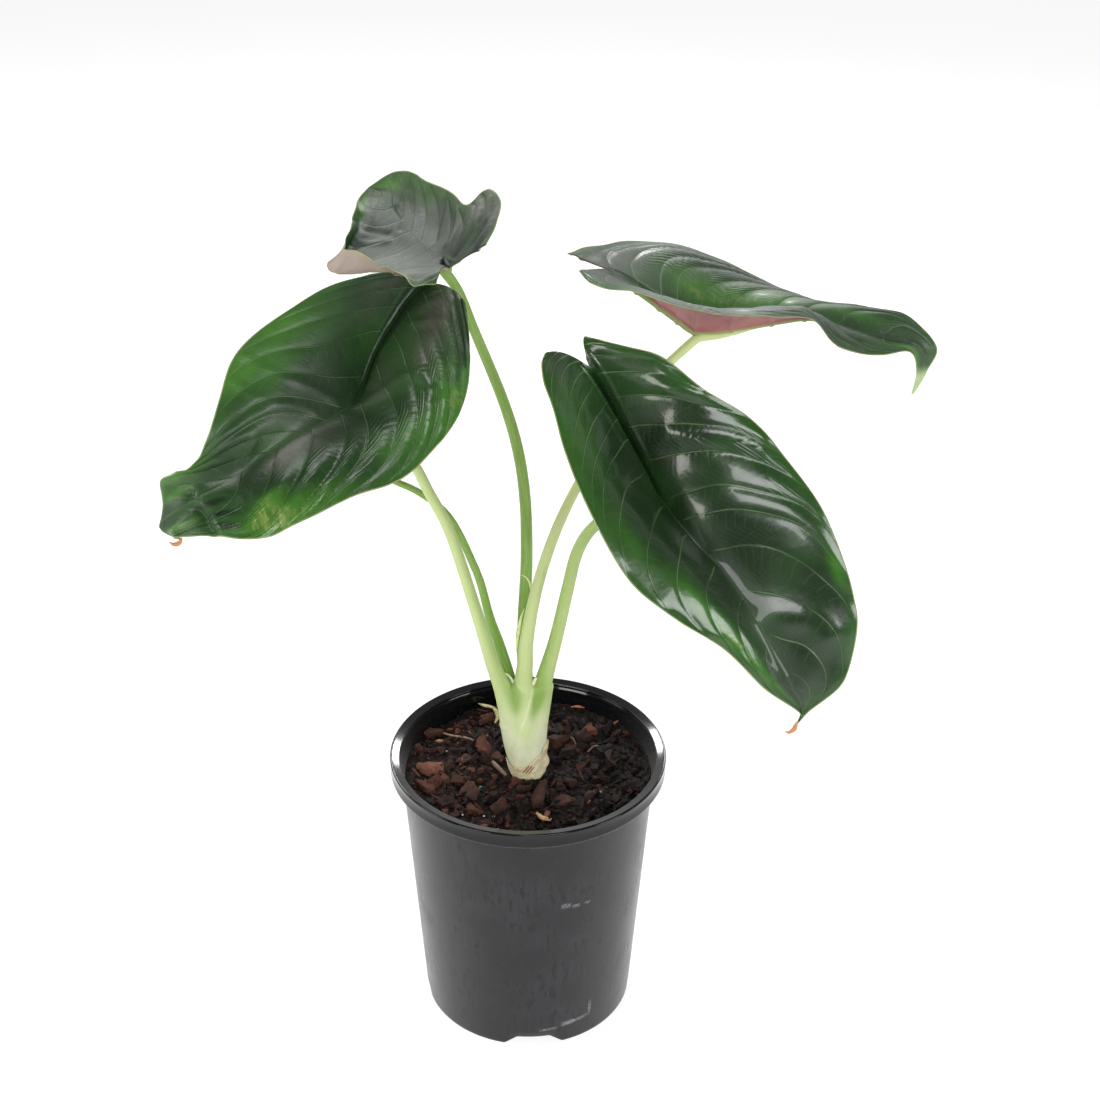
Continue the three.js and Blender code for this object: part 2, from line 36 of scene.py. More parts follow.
# Pot
POT_HEIGHT = 211
RIM_RADIUS = 100
BAND_HEIGHT = 11.5
LIP_WIDTH = 7.4
LIP_THICKNESS = 2.2
LIP_ROUND = 1.1
LIP_SLOPE = 0.23  # how far the lip falls towards the inside, as a share of its width
WALL_TOP_RADIUS = 92.6
FOOT_RADIUS = 77.5
WALL_THICKNESS = 1.8
FLOOR_DISC_RADIUS = 56
DRAIN_CHANNEL_HEIGHT = 9
FLOOR_THICKNESS = 2
POT_SIDES = 288
NOTCH_COUNT = 4
NOTCH_AZIMUTH = -87
NOTCH_HEIGHT = 8
NOTCH_FOOT_WIDTH = 43
NOTCH_TOP_WIDTH = 24

# Potting mix
MIX_LEVEL = 195
MIX_RADIUS = 89
MIX_SKIN_FOOT = 180
MIX_SIDES = 420

# Leaves
GRID_STEP = 1.35
HALF_COLUMNS = 42
BLADE_THICKNESS = 0.8
EDGE_THICKNESS = 0.3
KEEL_DEPTH = 3.2
KEEL_WIDTH = 2.4

# Stalks and stem
STALK_SIDES = 28
STALK_STEP = 2.0
STEM_VOXEL = 1.0
SHEATH_WALL = 0.6

# Small pieces
SMALL_TUBE_SIDES = 10
SLIVER_THICKNESS = 0.35
SLIVER_FACING = (0, -0.87, 0.5)

# Photograph's camera: place in metres, pitch in degrees, lens and sensor in millimetres
CAMERA_PLACE = (0, -1.1479, 1.0124)
CAMERA_PITCH = 28.95
CAMERA_LENS = 62.84
CAMERA_SENSOR = 36
CAMERA_SHIFT = 0.02

# Studio, in metres
FLOOR_HALF_WIDTH = 14

# Leaves in their own frames: along the midrib, across to the leaf's right, and rise above its
# plane, from the point where the stalk meets the blade. Three rails run from the back of the
# blade to its tip: the spine and the two margins. An arch is the rise between spine and margin,
# and a bulge pushes a part of one half. `stalk` and `radius` are in the shared frame, from the stem
# up, and the last radius is under the blade.
ARCH = (0, 3, 5, 7, 8, 8, 8, 7, 5, 3, 0, 0)
LEAVES = {
    "left": {
        "at": (-107, -60, 515),
        "turn": (-133, 18, 36),
        "sweep": 8,
        "lobe": 5,
        "spine": [
            (-96, 27, 8), (-87, 31, 0), (-68, 28, -8), (-42, 20, -12), (-5, 3, -10),
            (24, 2, -3), (47, 6, 0), (77, 10, 0), (102, 13, -4), (125, 20, -12),
            (140, 24, -24), (131, 13, -38),
        ],
        "left": [
            (-94, -2, 20), (-72, -24, 26), (-47, -44, 32), (-23, -56, 34), (1, -61, 34),
            (30, -61, 30), (60, -49, 26), (92, -39, 20), (113, -29, 10), (128, -7, -2),
            (139, 12, -20), (131, 13, -38),
        ],
        "right": [
            (-86, 37, 12), (-63, 52, 20), (-32, 61, 27), (4, 63, 34), (34, 64, 34),
            (55, 60, 32), (77, 47, 30), (99, 34, 26), (112, 30, 16), (119, 37, 2),
            (123, 42, -18), (131, 13, -38),
        ],
        "arch_left": ARCH,
        "arch_right": ARCH,
        "stalk": [
            (-14, -5, 248), (-18, -6, 268), (-25, -8, 292), (-32, -10, 321), (-38, -12, 345),
            (-46, -17, 379), (-54, -24, 410), (-64, -31, 436), (-74, -39, 463),
            (-89, -48, 489),
        ],
        "radius": (6.4, 6, 5.2, 4.6, 4.2, 4, 3.8, 3.7, 3.6, 3.6, 3.8),
    },
    "right": {
        "at": (87, -80, 452),
        "turn": (-41.5, 49, -20),
        "sweep": 8,
        "lobe": 5,
        "spine": [
            (-100, 3, 10), (-84, -1, 2), (-59, -4, -5), (-29, -5, -9), (1, -3, -8),
            (26, -5, -3), (54, -11, 0), (82, -14, 0), (114, -15, -4), (138, -18, -10),
            (157, -21, -18), (163, -12, -22),
        ],
        "left": [
            (-118, -3, 14), (-101, -16, 26), (-83, -32, 34), (-53, -44, 38), (-23, -62, 38),
            (14, -72, 36), (47, -77, 32), (88, -76, 24), (121, -72, 12), (151, -52, -4),
            (159, -24, -18), (163, -13, -24),
        ],
        "right": [
            (-119, 31, 22), (-110, 41, 28), (-88, 49, 34), (-63, 57, 38), (-34, 62, 38),
            (1, 63, 34), (34, 57, 28), (64, 40, 20), (95, 17, 8), (130, 0, -6),
            (157, -19, -18), (163, -13, -24),
        ],
        "arch_left": ARCH,
        "arch_right": ARCH,
        "stalk": [
            (7, -2, 248), (10, -3, 268), (15, -4, 290), (20, -5, 312), (27, -9, 351),
            (33, -16, 384), (42, -27, 408), (55, -42, 427), (70, -60, 441),
        ],
        "radius": (6.8, 6.4, 5.4, 4.8, 4.4, 4.2, 4, 3.8, 3.8, 4),
    },
    "top_right": {
        "at": (114, 60, 512),
        "turn": (15, 18, -5),
        "sweep": 8,
        "lobe": 4,
        "spine": [
            (-76, -4, 29), (-58, -3, 24), (-37, -1, 16), (-15, 0, 7), (2, 0, 1), (30, -3, 8),
            (57, -5, 18), (82, -7, 25), (114, -8, 23), (150, -9, 22), (175, -10, 21),
            (183, -8, 4), (182, -7, -14),
        ],
        "left": [
            (-93, -39, 21), (-66, -58, 24), (-38, -70, 28), (-7, -72, 33), (30, -69, 30),
            (68, -63, 24), (94, -57, 22), (114, -48, 22), (133, -38, 31), (164, -26, 36),
            (188, -14, 23), (187, -9, 5), (184, -8, -14),
        ],
        "right": [
            (-105, 20, 32), (-97, 39, 32), (-84, 53, 39), (-66, 61, 41), (-40, 64, 41),
            (-10, 63, 42), (23, 53, 44), (57, 37, 41), (94, 24, 21), (135, 8, 16),
            (165, -6, 18), (179, -8, 3), (182, -7, -14),
        ],
        "arch_left": (*ARCH, 0),
        "arch_right": (*ARCH, 0),
        "stalk": [
            (-4, -10, 248), (-4, -10, 268), (-2, -9, 290), (-1, -8, 310), (5, -2, 343),
            (13, 6, 370), (23, 14, 395), (36, 23, 419), (59, 37, 454), (83, 50, 481),
        ],
        "radius": (6.4, 6.2, 5.6, 5, 4.2, 3.9, 3.7, 3.5, 3.3, 3.2, 3.4),
    },
    "top_left": {
        "at": (-56, 45, 564),
        "turn": (114, -4, 0),
        "sweep": 3,
        "lobe": -1,
        "spine": [
            (-18, -3, 8), (-13, -2, 6), (-7, -2, 5), (1, -1, 4), (16, 0, 4), (33, 0, 4),
            (51, 0, 5), (69, 0, 6), (87, 0, 7), (104, -1, 8), (119, -2, 8), (129, -5, 8),
        ],
        "left": [
            (-49, -24, 14), (-49, -39, 15), (-34, -41, 16), (-17, -45, 15), (-4, -46, 10),
            (11, -45, 12), (26, -45, 11), (43, -49, 6), (67, -40, 6), (93, -28, 8),
            (115, -17, 7), (129, -5, 8),
        ],
        "right": [
            (-58, 6, 39), (-51, 18, 57), (-35, 22, 63), (-10, 24, 55), (21, 25, 33),
            (50, 28, 29), (74, 28, 25), (95, 25, 22), (109, 23, 22), (120, 17, 21),
            (127, 8, 16), (129, -5, 8),
        ],
        "arch_left": (4, 4, 2, -2, -6, -10, -12, -10, -8, -6, -4, 0),
        "arch_right": (0, 2, 2, 0, -4, -7, -9, -9, -8, -6, -4, 0),
        "bulge_left": {
            "station": 0.56,
            "across": 0.74,
            "length": 0.13,
            "width": 0.2,
            "push": (0, -32, -8),
        },
        "stalk": [
            (-2, 9, 248), (-2, 10, 268), (-3, 13, 290), (-3, 16, 312), (-1, 21, 358),
            (-2, 27, 402), (-7, 32, 438), (-17, 37, 473), (-36, 42, 522), (-46, 45, 548),
        ],
        "radius": (5.6, 5.4, 5, 4.6, 4.3, 4.1, 4, 3.8, 3.5, 3.4, 3.8),
    },
    "hidden": {
        "at": (-128, 17, 459),
        "turn": (-170, 26, 12),
        "sweep": 4,
        "lobe": 4,
        "spine": [
            (-40, 0, 5), (-32, 0, 0), (-21, 0, -3), (-10, 0, -4), (0, 0, -3), (17, 0, 0),
            (34, 0, 1), (52, 0, 1), (70, 0, -2), (86, 0, -7), (98, 0, -13), (108, 1, -20),
        ],
        "left": [
            (-56, -13, 9), (-51, -26, 12), (-39, -35, 14), (-24, -41, 15), (-6, -44, 15),
            (15, -43, 13), (36, -38, 10), (56, -31, 6), (74, -21, 0), (89, -11, -7),
            (100, -3, -13), (108, 1, -20),
        ],
        "right": [
            (-58, 12, 8), (-54, 26, 11), (-42, 36, 13), (-27, 42, 14), (-9, 45, 14),
            (12, 44, 12), (34, 40, 9), (55, 33, 5), (74, 23, 0), (89, 12, -7), (100, 4, -13),
            (108, 1, -20),
        ],
        "arch_left": (0, 1, 2, 4, 5, 5, 4, 4, 3, 2, 0, 0),
        "arch_right": (0, 1, 2, 4, 5, 5, 4, 4, 3, 2, 0, 0),
        "stalk": [
            (-10, 5, 248), (-13, 6, 268), (-20, 8, 296), (-27, 9, 319), (-33, 10, 346),
            (-39, 11, 363), (-47, 12, 383), (-55, 12, 398), (-65, 13, 408), (-78, 14, 417),
            (-94, 14, 425), (-111, 15, 438),
        ],
        "radius": (4.4, 4.2, 3.7, 3.3, 3, 2.9, 2.8, 2.7, 2.6, 2.5, 2.4, 2.4, 2.6),
    },
}

# Where the side veins leave the midrib, as shares of the length, and how much the blade swells
# between each two of them. `slope` and `bend` say how far the veins lean towards the tip on their
# way out, and `funnel` where the blade meets its stalk.
EVEN_VEINS = (-0.04, 0.05, 0.14, 0.22, 0.31, 0.40, 0.49, 0.58, 0.67, 0.76, 0.86, 0.96)
VEINS = {
    "left": {
        "veins_left": (-0.02, 0.06, 0.14, 0.21, 0.283, 0.365, 0.42, 0.505, 0.59, 0.68, 0.77, 0.87, 0.97),
        "veins_right": (-0.02, 0.06, 0.14, 0.22, 0.31, 0.40, 0.46, 0.53, 0.61, 0.70, 0.79, 0.88, 0.97),
        "swell_left": (1.2, 1.3, 1.2, 0.8, 0.9, 1.3, 1.4, 1.3, 1.0, 0.7, 0.4, 0.3),
        "swell_right": (0.3, 0.4, 0.5, 0.4, 0.4, 0.7, 0.8, 0.6, 0.5, 0.4, 0.3, 0.3),
        "slope": 0.22,
        "bend": 0.06,
        "funnel": 0.37,
    },
    "right": {
        "veins_left": (-0.03, 0.04, 0.115, 0.19, 0.26, 0.347, 0.405, 0.49, 0.59, 0.68, 0.77, 0.87, 0.97),
        "veins_right": (
            -0.03, 0.02, 0.07, 0.12, 0.165, 0.21, 0.275,
            0.36, 0.44, 0.52, 0.61, 0.7, 0.79, 0.88,
        ),
        "swell_left": (0.2, 0.5, 0.5, 0.8, 0.7, 0.5, 0.15, 0.2, 0.2, 0.4, 0.3, 0.3),
        "swell_right": (0.1, 0.2, 0.2, 0.2, 0.2, 0.2, 0.2, 0.25, 0.3, 0.4, 0.4, 0.4, 0.3),
        "slope": 0.2,
        "bend": 0.06,
        "funnel": 0.365,
    },
    "top_right": {
        "veins_left": (-0.04, 0.04, 0.115, 0.19, 0.24, 0.32, 0.385, 0.485, 0.565, 0.645, 0.73, 0.81, 0.89),
        "veins_right": (-0.04, 0.04, 0.115, 0.19, 0.25, 0.32, 0.40, 0.485, 0.565, 0.645, 0.73, 0.81, 0.89),
        "swell_left": (0.4, 0.7, 0.9, 1.1, 0.9, 1.2, 1.0, 1.2, 1.0, 0.8, 0.8, 0.6),
        "swell_right": (0.4, 0.7, 0.9, 1.1, 0.9, 1.2, 1.0, 1.2, 1.0, 0.8, 0.8, 0.6),
        "slope": 0.06,
        "bend": 0.2,
        "funnel": 0.33,
    },
    "top_left": {
        "veins_left": EVEN_VEINS,
        "veins_right": EVEN_VEINS,
        "swell_left": (0.6, 0.8, 0.6, 0.9, 0.5, 0.7, 0.9, 0.6, 0.8, 0.5, 0.4),
        "swell_right": (1.2, 1.3, 1.0, 0.9, 0.6, 0.7, 0.9, 0.6, 0.8, 0.5, 0.4),
        "slope": 0.15,
        "bend": 0.06,
        "funnel": 0.27,
    },
    "hidden": {
        "veins_left": EVEN_VEINS,
        "veins_right": EVEN_VEINS,
        "swell_left": (0.6, 0.9, 1.0, 0.9, 1.1, 0.8, 1.0, 0.9, 0.8, 0.6, 0.4),
        "swell_right": (0.6, 0.9, 1.0, 0.9, 1.1, 0.8, 1.0, 0.9, 0.8, 0.6, 0.4),
        "slope": 0.2,
        "bend": 0.06,
        "funnel": 0.365,
    },
}

# Soft patches on the blades as (side, share of length, share of half width, reach, strength).
# Side is -1 for the left half and 1 for the right. A strength above 0 makes the green paler, and
# one well above 1 turns it yellow. A strength below 0 is painted shade: darker green where the
# blade lies in shade.
PALER_GREEN_AND_PAINTED_SHADE = {
    "left": (
        (1, 0.43, 0.75, 0.09, 0.6), (1, 0.32, 0.88, 0.06, 0.9), (1, 0.48, 0.92, 0.06, 0.9),
        (-1, 0.24, 0.75, 0.07, 0.5), (-1, 0.2, 0.97, 0.06, 1.0), (-1, 0.27, 0.9, 0.06, 0.9),
        (-1, 0.36, 0.8, 0.08, 0.6), (-1, 0.42, 0.66, 0.07, 0.4), (-1, 0.69, 0.8, 0.06, 1.0),
        (-1, 0.6, 0.85, 0.06, 0.7), (-1, 0.69, 0.55, 0.035, 1.2), (-1, 0.705, 0.68, 0.04, 1.25),
        (-1, 0.72, 0.84, 0.045, 1.3), (-1, 0.66, 0.93, 0.04, 1.2),
        (1, 0.86, 0.4, 0.05, 1.0), (1, 0.94, 0.6, 0.07, 1.15), (1, 0.84, 0.9, 0.06, 0.9),
        (-1, 0.87, 0.5, 0.035, 1.1), (-1, 0.92, 0.6, 0.05, 1.3), (-1, 0.97, 0.5, 0.06, 1.7),
        (-1, 0.79, 0.25, 0.035, -1.4), (-1, 0.785, 0.55, 0.03, -1.4), (-1, 0.785, 0.8, 0.025, -1.4),
        (-1, 0.15, 0.85, 0.03, -0.9), (-1, 0.22, 0.82, 0.02, -0.8), (-1, 0.3, 0.6, 0.03, -0.5),
        (1, 0.4, 0.3, 0.08, -0.5), (1, 0.33, 0.1, 0.05, -0.6), (-1, 0.31, 0.02, 0.05, -0.5),
    ),
    "right": (
        (1, 0.2, 0.8, 0.12, 0.4), (1, 0.35, 0.85, 0.1, 0.35), (1, 0.62, 0.64, 0.06, 1.0),
        (1, 0.72, 0.7, 0.07, 1.2), (1, 0.8, 0.6, 0.07, 0.9), (-1, 0.635, 0.9, 0.03, 1.1),
        (1, 0.48, 0.78, 0.06, 0.6), (-1, 0.95, 0.5, 0.08, 0.7),
        (-1, 0.48, 0.3, 0.08, -0.8), (1, 0.4, 0.1, 0.06, -0.8), (-1, 0.25, 0.2, 0.08, -0.5),
        (1, 0.3, 0.3, 0.08, -0.4),
    ),
    "top_right": (
        (-1, 0.3, 0.4, 0.1, 1.0), (-1, 0.42, 0.3, 0.1, 0.9), (-1, 0.5, 0.4, 0.08, 0.7),
        (-1, 0.67, 0.4, 0.07, 0.8), (1, 0.9, 0.5, 0.1, 0.6), (-1, 0.02, 0.9, 0.04, 0.8),
        (1, 0.82, 0.5, 0.08, 0.6),
    ),
    "top_left": (
        (1, 0.88, 0.7, 0.09, 1.1), (-1, 0.92, 0.75, 0.08, 1.1), (-1, 0.85, 0.9, 0.06, 1.0),
        (-1, 0.55, 0.85, 0.1, 0.6), (-1, 0.66, 0.95, 0.06, 0.8), (1, 0.65, 0.9, 0.08, 0.3),
        (-1, 0.76, 0.5, 0.04, -0.9), (-1, 0.69, 0.2, 0.05, -0.7), (1, 0.5, 0.5, 0.035, -0.6),
        (1, 0.22, 0.3, 0.06, -1.4), (1, 0.1, 0.25, 0.06, -1.3), (1, 0.26, 0.65, 0.035, -0.9),
        (-1, 0.27, 0.12, 0.06, -1.4), (1, 0.33, 0.1, 0.05, -1.2), (-1, 0.36, 0.3, 0.04, -0.7),
        (1, 0.0, 0.75, 0.05, -0.9),
    ),
    "hidden": (),
}

# Soft patches of painted sheen, a grey reflection painted into the blade's colour, given in the same way
PAINTED_SHEEN = {
    "left": (
        (-1, 0.49, 0.07, 0.06, 0.9), (-1, 0.57, 0.16, 0.06, 1.1), (-1, 0.63, 0.2, 0.05, 0.9),
        (-1, 0.33, 0.15, 0.05, 0.8), (-1, 0.24, 0.42, 0.04, 1.0), (-1, 0.08, 0.4, 0.1, 1.1),
        (-1, 0.15, 0.4, 0.06, 0.8), (1, 0.5, 0.1, 0.06, 0.6), (1, 0.03, 0.4, 0.08, 1.2),
        (1, 0.12, 0.5, 0.06, 0.8), (1, 0.2, 0.35, 0.05, 0.5), (1, 0.57, 0.4, 0.05, 0.5),
    ),
    "right": (
        (-1, 0.33, 0.2, 0.05, 0.5), (1, 0.56, 0.25, 0.06, 0.7), (1, 0.65, 0.2, 0.06, 0.6),
        (1, 0.3, 0.25, 0.06, 0.3),
    ),
    "top_right": (
        (-1, 0.1, 0.5, 0.09, 1.2), (1, 0.08, 0.4, 0.08, 1.5), (-1, 0.55, 0.8, 0.06, 0.5),
        (-1, 0.4, 0.95, 0.08, 0.7), (1, 0.5, 0.97, 0.2, 0.5),
    ),
    "top_left": (
        (1, 0.48, 0.3, 0.1, 0.7), (-1, 0.52, 0.3, 0.1, 0.8), (-1, 0.35, 0.6, 0.1, 0.8),
        (1, 0.3, 0.85, 0.05, 1.0), (1, 0.2, 0.7, 0.05, 1.3), (1, 0.12, 0.92, 0.07, 1.7),
        (1, 0.38, 0.6, 0.04, 0.8), (-1, 0.2, 0.8, 0.08, 1.3),
    ),
    "hidden": (),
}

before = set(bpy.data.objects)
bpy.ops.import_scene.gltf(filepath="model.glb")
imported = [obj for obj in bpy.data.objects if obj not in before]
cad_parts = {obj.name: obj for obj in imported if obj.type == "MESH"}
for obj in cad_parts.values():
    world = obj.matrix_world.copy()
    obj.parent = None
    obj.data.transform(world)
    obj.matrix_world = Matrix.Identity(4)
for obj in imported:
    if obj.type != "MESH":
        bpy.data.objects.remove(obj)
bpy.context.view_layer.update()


# Smooth curves and noise


def curve(points, share):
    """Points of the smooth curve through evenly numbered stations, at shares 0 to 1 of it."""
    stations = np.asarray(points, float)
    if stations.ndim == 1:
        stations = stations[:, None]
    last = len(stations) - 1
    place = np.clip(np.asarray(share, float), 0, 1) * last
    index = np.minimum(np.floor(place).astype(int), last - 1)
    part = (place - index)[..., None]
    before = 2 * stations[0] - stations[1]
    after = 2 * stations[-1] - stations[-2]
    padded = np.concatenate([[before], stations, [after]])
    a, b, c, d = (padded[index + k] for k in range(4))
    cubic = -a + 3 * b - 3 * c + d
    square = 2 * a - 5 * b + 4 * c - d
    return 0.5 * (2 * b + (c - a) * part + square * part**2 + cubic * part**3)


def bell(value, width):
    """1 at 0, falling smoothly to nothing beyond about twice the width."""
    return np.exp(-((value / width) ** 2))


def ease(value):
    """0 below 0, 1 above 1, with a smooth step between."""
    x = np.clip(value, 0, 1)
    return x * x * (3 - 2 * x)


def lattice_noise(points, size, seed):
    """Smooth noise from -1 to 1 at points, with bumps about `size` across."""
    table = np.random.default_rng(seed).uniform(-1, 1, 4096)
    cell = np.asarray(points, float) / size
    corner = np.floor(cell).astype(np.int64)
    part = ease(cell - corner)
    total = np.zeros(cell.shape[:-1])
    for dx in (0, 1):
        for dy in (0, 1):
            for dz in (0, 1):
                key = (corner[..., 0] + dx) * 73856093
                key = key ^ ((corner[..., 1] + dy) * 19349663)
                key = key ^ ((corner[..., 2] + dz) * 83492791)
                weight = part[..., 0] if dx else 1 - part[..., 0]
                weight = weight * (part[..., 1] if dy else 1 - part[..., 1])
                weight = weight * (part[..., 2] if dz else 1 - part[..., 2])
                total += weight * table[key % 4096]
    return total


# Meshes


def new_object(name, points, faces, values=None):
    """A mesh object from points in millimetres, with one float attribute for each of `values`."""
    mesh = bpy.data.meshes.new(name)
    mesh.from_pydata((np.asarray(points) * MM).tolist(), [], [list(map(int, f)) for f in faces])
    mesh.shade_smooth()
    for key, numbers in (values or {}).items():
        layer = mesh.attributes.new(key, "FLOAT", "POINT")
        layer.data.foreach_set("value", np.asarray(numbers, np.float32).ravel())
    mesh.update()
    made = bpy.data.objects.new(name, mesh)
    bpy.context.scene.collection.objects.link(made)
    return made


def grid_faces(rows, columns, start=0, flip=False, closed=False):
    """Quads of a grid of points stored row by row; `closed` joins the last column to the first."""
    across = columns if closed else columns - 1
    i, j = np.meshgrid(np.arange(rows - 1), np.arange(across), indexing="ij")
    a = start + i * columns + j
    b = start + i * columns + (j + 1) % columns
    quads = np.stack([a, b, b + columns, a + columns], -1).reshape(-1, 4)
    return quads[:, ::-1] if flip else quads


# Materials


class Nodes:
    """Builds the nodes of a tree with short calls that return sockets."""

    def __init__(self, tree):
        self.tree = tree
        self.places = {}

    def feed(self, socket, value):
        """Links an input to a socket, or sets it to a number, a vector or a colour."""
        if isinstance(value, bpy.types.NodeSocket):
            self.tree.links.new(value, socket)
        elif isinstance(value, tuple):
            socket.default_value = (*value, 1) if len(socket.default_value) == 4 else value
        else:
            socket.default_value = value

    def node(self, kind, settings, inputs):
        """The outputs of a new node, after its settings are made and its inputs are fed."""
        made = self.tree.nodes.new("ShaderNode" + kind)
        for key, value in settings.items():
            setattr(made, key, value)
        for key, value in inputs.items():
            self.feed(made.inputs[key], value)
        return made.outputs

    def value(self, name):
        """The number that the mesh carries under this name at each point."""
        return self.node("Attribute", {"attribute_name": name}, {})["Fac"]

    def coordinates(self, kind="Object"):
        """The place of each point, made once for each kind of coordinates."""
        if kind not in self.places:
            self.places[kind] = self.node("TexCoord", {}, {})[kind]
        return self.places[kind]

    def axes(self, kind="Object"):
        """The three coordinates as sockets of their own."""
        return self.node("SeparateXYZ", {}, {0: self.coordinates(kind)})

    def vector(self, x, y, z=0.0):
        return self.node("CombineXYZ", {}, {0: x, 1: y, 2: z})[0]

    def math(self, operation, *values, clamp=False):
        settings = {"operation": operation, "use_clamp": clamp}
        return self.node("Math", settings, dict(enumerate(values)))[0]

    def times(self, first, second, clamp=False):
        return self.math("MULTIPLY", first, second, clamp=clamp)

    def plus(self, first, second, clamp=False):
        return self.math("ADD", first, second, clamp=clamp)

    def minus(self, first, second):
        return self.math("SUBTRACT", first, second)

    def total(self, start, *parts):
        """A number plus parts that are each given as (value, factor)."""
        for value, factor in parts:
            start = self.plus(start, self.times(value, factor))
        return start

    def ramp(self, value, low, high, start=0.0, end=1.0):
        """Maps low..high smoothly to start..end."""
        inputs = {"Value": value, "From Min": low, "From Max": high, "To Min": start, "To Max": end}
        return self.node("MapRange", {"interpolation_type": "SMOOTHSTEP"}, inputs)["Result"]

    def noise(self, scale, detail=3.0, rough=0.5, place=None, warp=0.0):
        inputs = {"Scale": scale, "Detail": detail, "Roughness": rough, "Distortion": warp}
        inputs["Vector"] = place or self.coordinates()
        return self.node("TexNoise", {}, inputs)["Fac"]

    def mix(self, share, first, second):
        """A colour between the first and the second, for a share from 0 to 1."""
        return self.node("Mix", {"data_type": "RGBA"}, {"Factor": share, 6: first, 7: second})[2]

    def layered(self, colour, *layers):
        """A colour with others laid over it in turn, each given as (share, strength, colour)."""
        for share, strength, over in layers:
            colour = self.mix(self.times(share, strength), colour, over)
        return colour

    def colours(self, value, stops):
        """A colour from stops that are each given as (place, colour)."""
        made = self.tree.nodes.new("ShaderNodeValToRGB")
        elements = made.color_ramp.elements
        while len(elements) < len(stops):
            elements.new(0.5)
        for element, (place, colour) in zip(elements, stops):
            element.position = place
            element.color = (*colour, 1)
        self.feed(made.inputs["Fac"], value)
        return made.outputs["Color"]

    def bump(self, height, distance, strength):
        inputs = {"Strength": strength, "Distance": distance, "Height": height}
        return self.node("Bump", {}, inputs)["Normal"]


class Shader(Nodes):
    """A material, whose surface is set by the names of its inputs."""

    def __init__(self, name):
        self.material = bpy.data.materials.new(name)
        self.material.use_nodes = True
        super().__init__(self.material.node_tree)
        self.surface = self.tree.nodes["Principled BSDF"]

    def set(self, **inputs):
        """Feeds inputs of the surface. In their names _ stands for a space."""
        for key, value in inputs.items():
            self.feed(self.surface.inputs[key.replace("_", " ")], value)


# Leaves


def leaf_axes(turn):
    """The leaf's directions along, across and rise in the shared frame."""
    azimuth, droop, roll = (radians(angle) for angle in turn)
    along = np.array([cos(droop) * cos(azimuth), cos(droop) * sin(azimuth), -sin(droop)])
    level = np.array([sin(azimuth), -cos(azimuth), 0])
    upright = np.cross(level, along)
    across = level * cos(roll) + upright * sin(roll)
    rise = upright * cos(roll) - level * sin(roll)
    return along, across, rise


def place_leaf(leaf, points):
    """Points of the leaf's frame in the shared frame, in millimetres."""
    along, across, rise = leaf_axes(leaf["turn"])
    spread = points[..., :1] * along + points[..., 1:2] * across + points[..., 2:] * rise
    return np.array(leaf["at"], float) + spread


def half_blade(leaf, side, s, t):
    """Points of one half at shares s of the length and t of the half width, in the leaf's frame."""
    spine = curve(leaf["spine"], s)
    margin = curve(leaf[side], s)
    points = spine + (margin - spine) * t[..., None]
    middle = 4 * t * (1 - t)
    arch = curve(leaf["arch_" + side], s)[..., 0]
    points[..., 0] -= leaf["sweep"] * middle * np.minimum(1, 4 * s * (1 - s))
    points[..., 0] -= leaf["lobe"] * middle * bell(s, 0.12)
    points[..., 2] += arch * middle
    bulge = leaf.get("bulge_" + side)
    if bulge:
        near = bell(s - bulge["station"], bulge["length"])
        near = near * bell(t - bulge["across"], bulge["width"])
        points = points + near[..., None] * np.array(bulge["push"], float)
    return points


def even_shares(leaf, step):
    """Shares of the length about one step apart where the rails run longest."""
    fine = np.linspace(0, 1, 600)
    rails = [curve(leaf[rail], fine) for rail in ("spine", "left", "right")]
    runs = [np.linalg.norm(np.diff(rail, axis=0), axis=1) for rail in rails]
    run = np.concatenate([[0], np.cumsum(np.max(runs, axis=0))])
    return np.interp(np.linspace(0, run[-1], int(run[-1] / step) + 1), run, fine)


def patches(spots, side, s, t):
    """The strength of soft patches at each point."""
    total = np.zeros_like(s)
    for spot_side, at_s, at_t, reach, strength in spots:
        if spot_side == side:
            total += strength * bell(np.hypot(s - at_s, (t - at_t) * 0.45), reach)
    return total


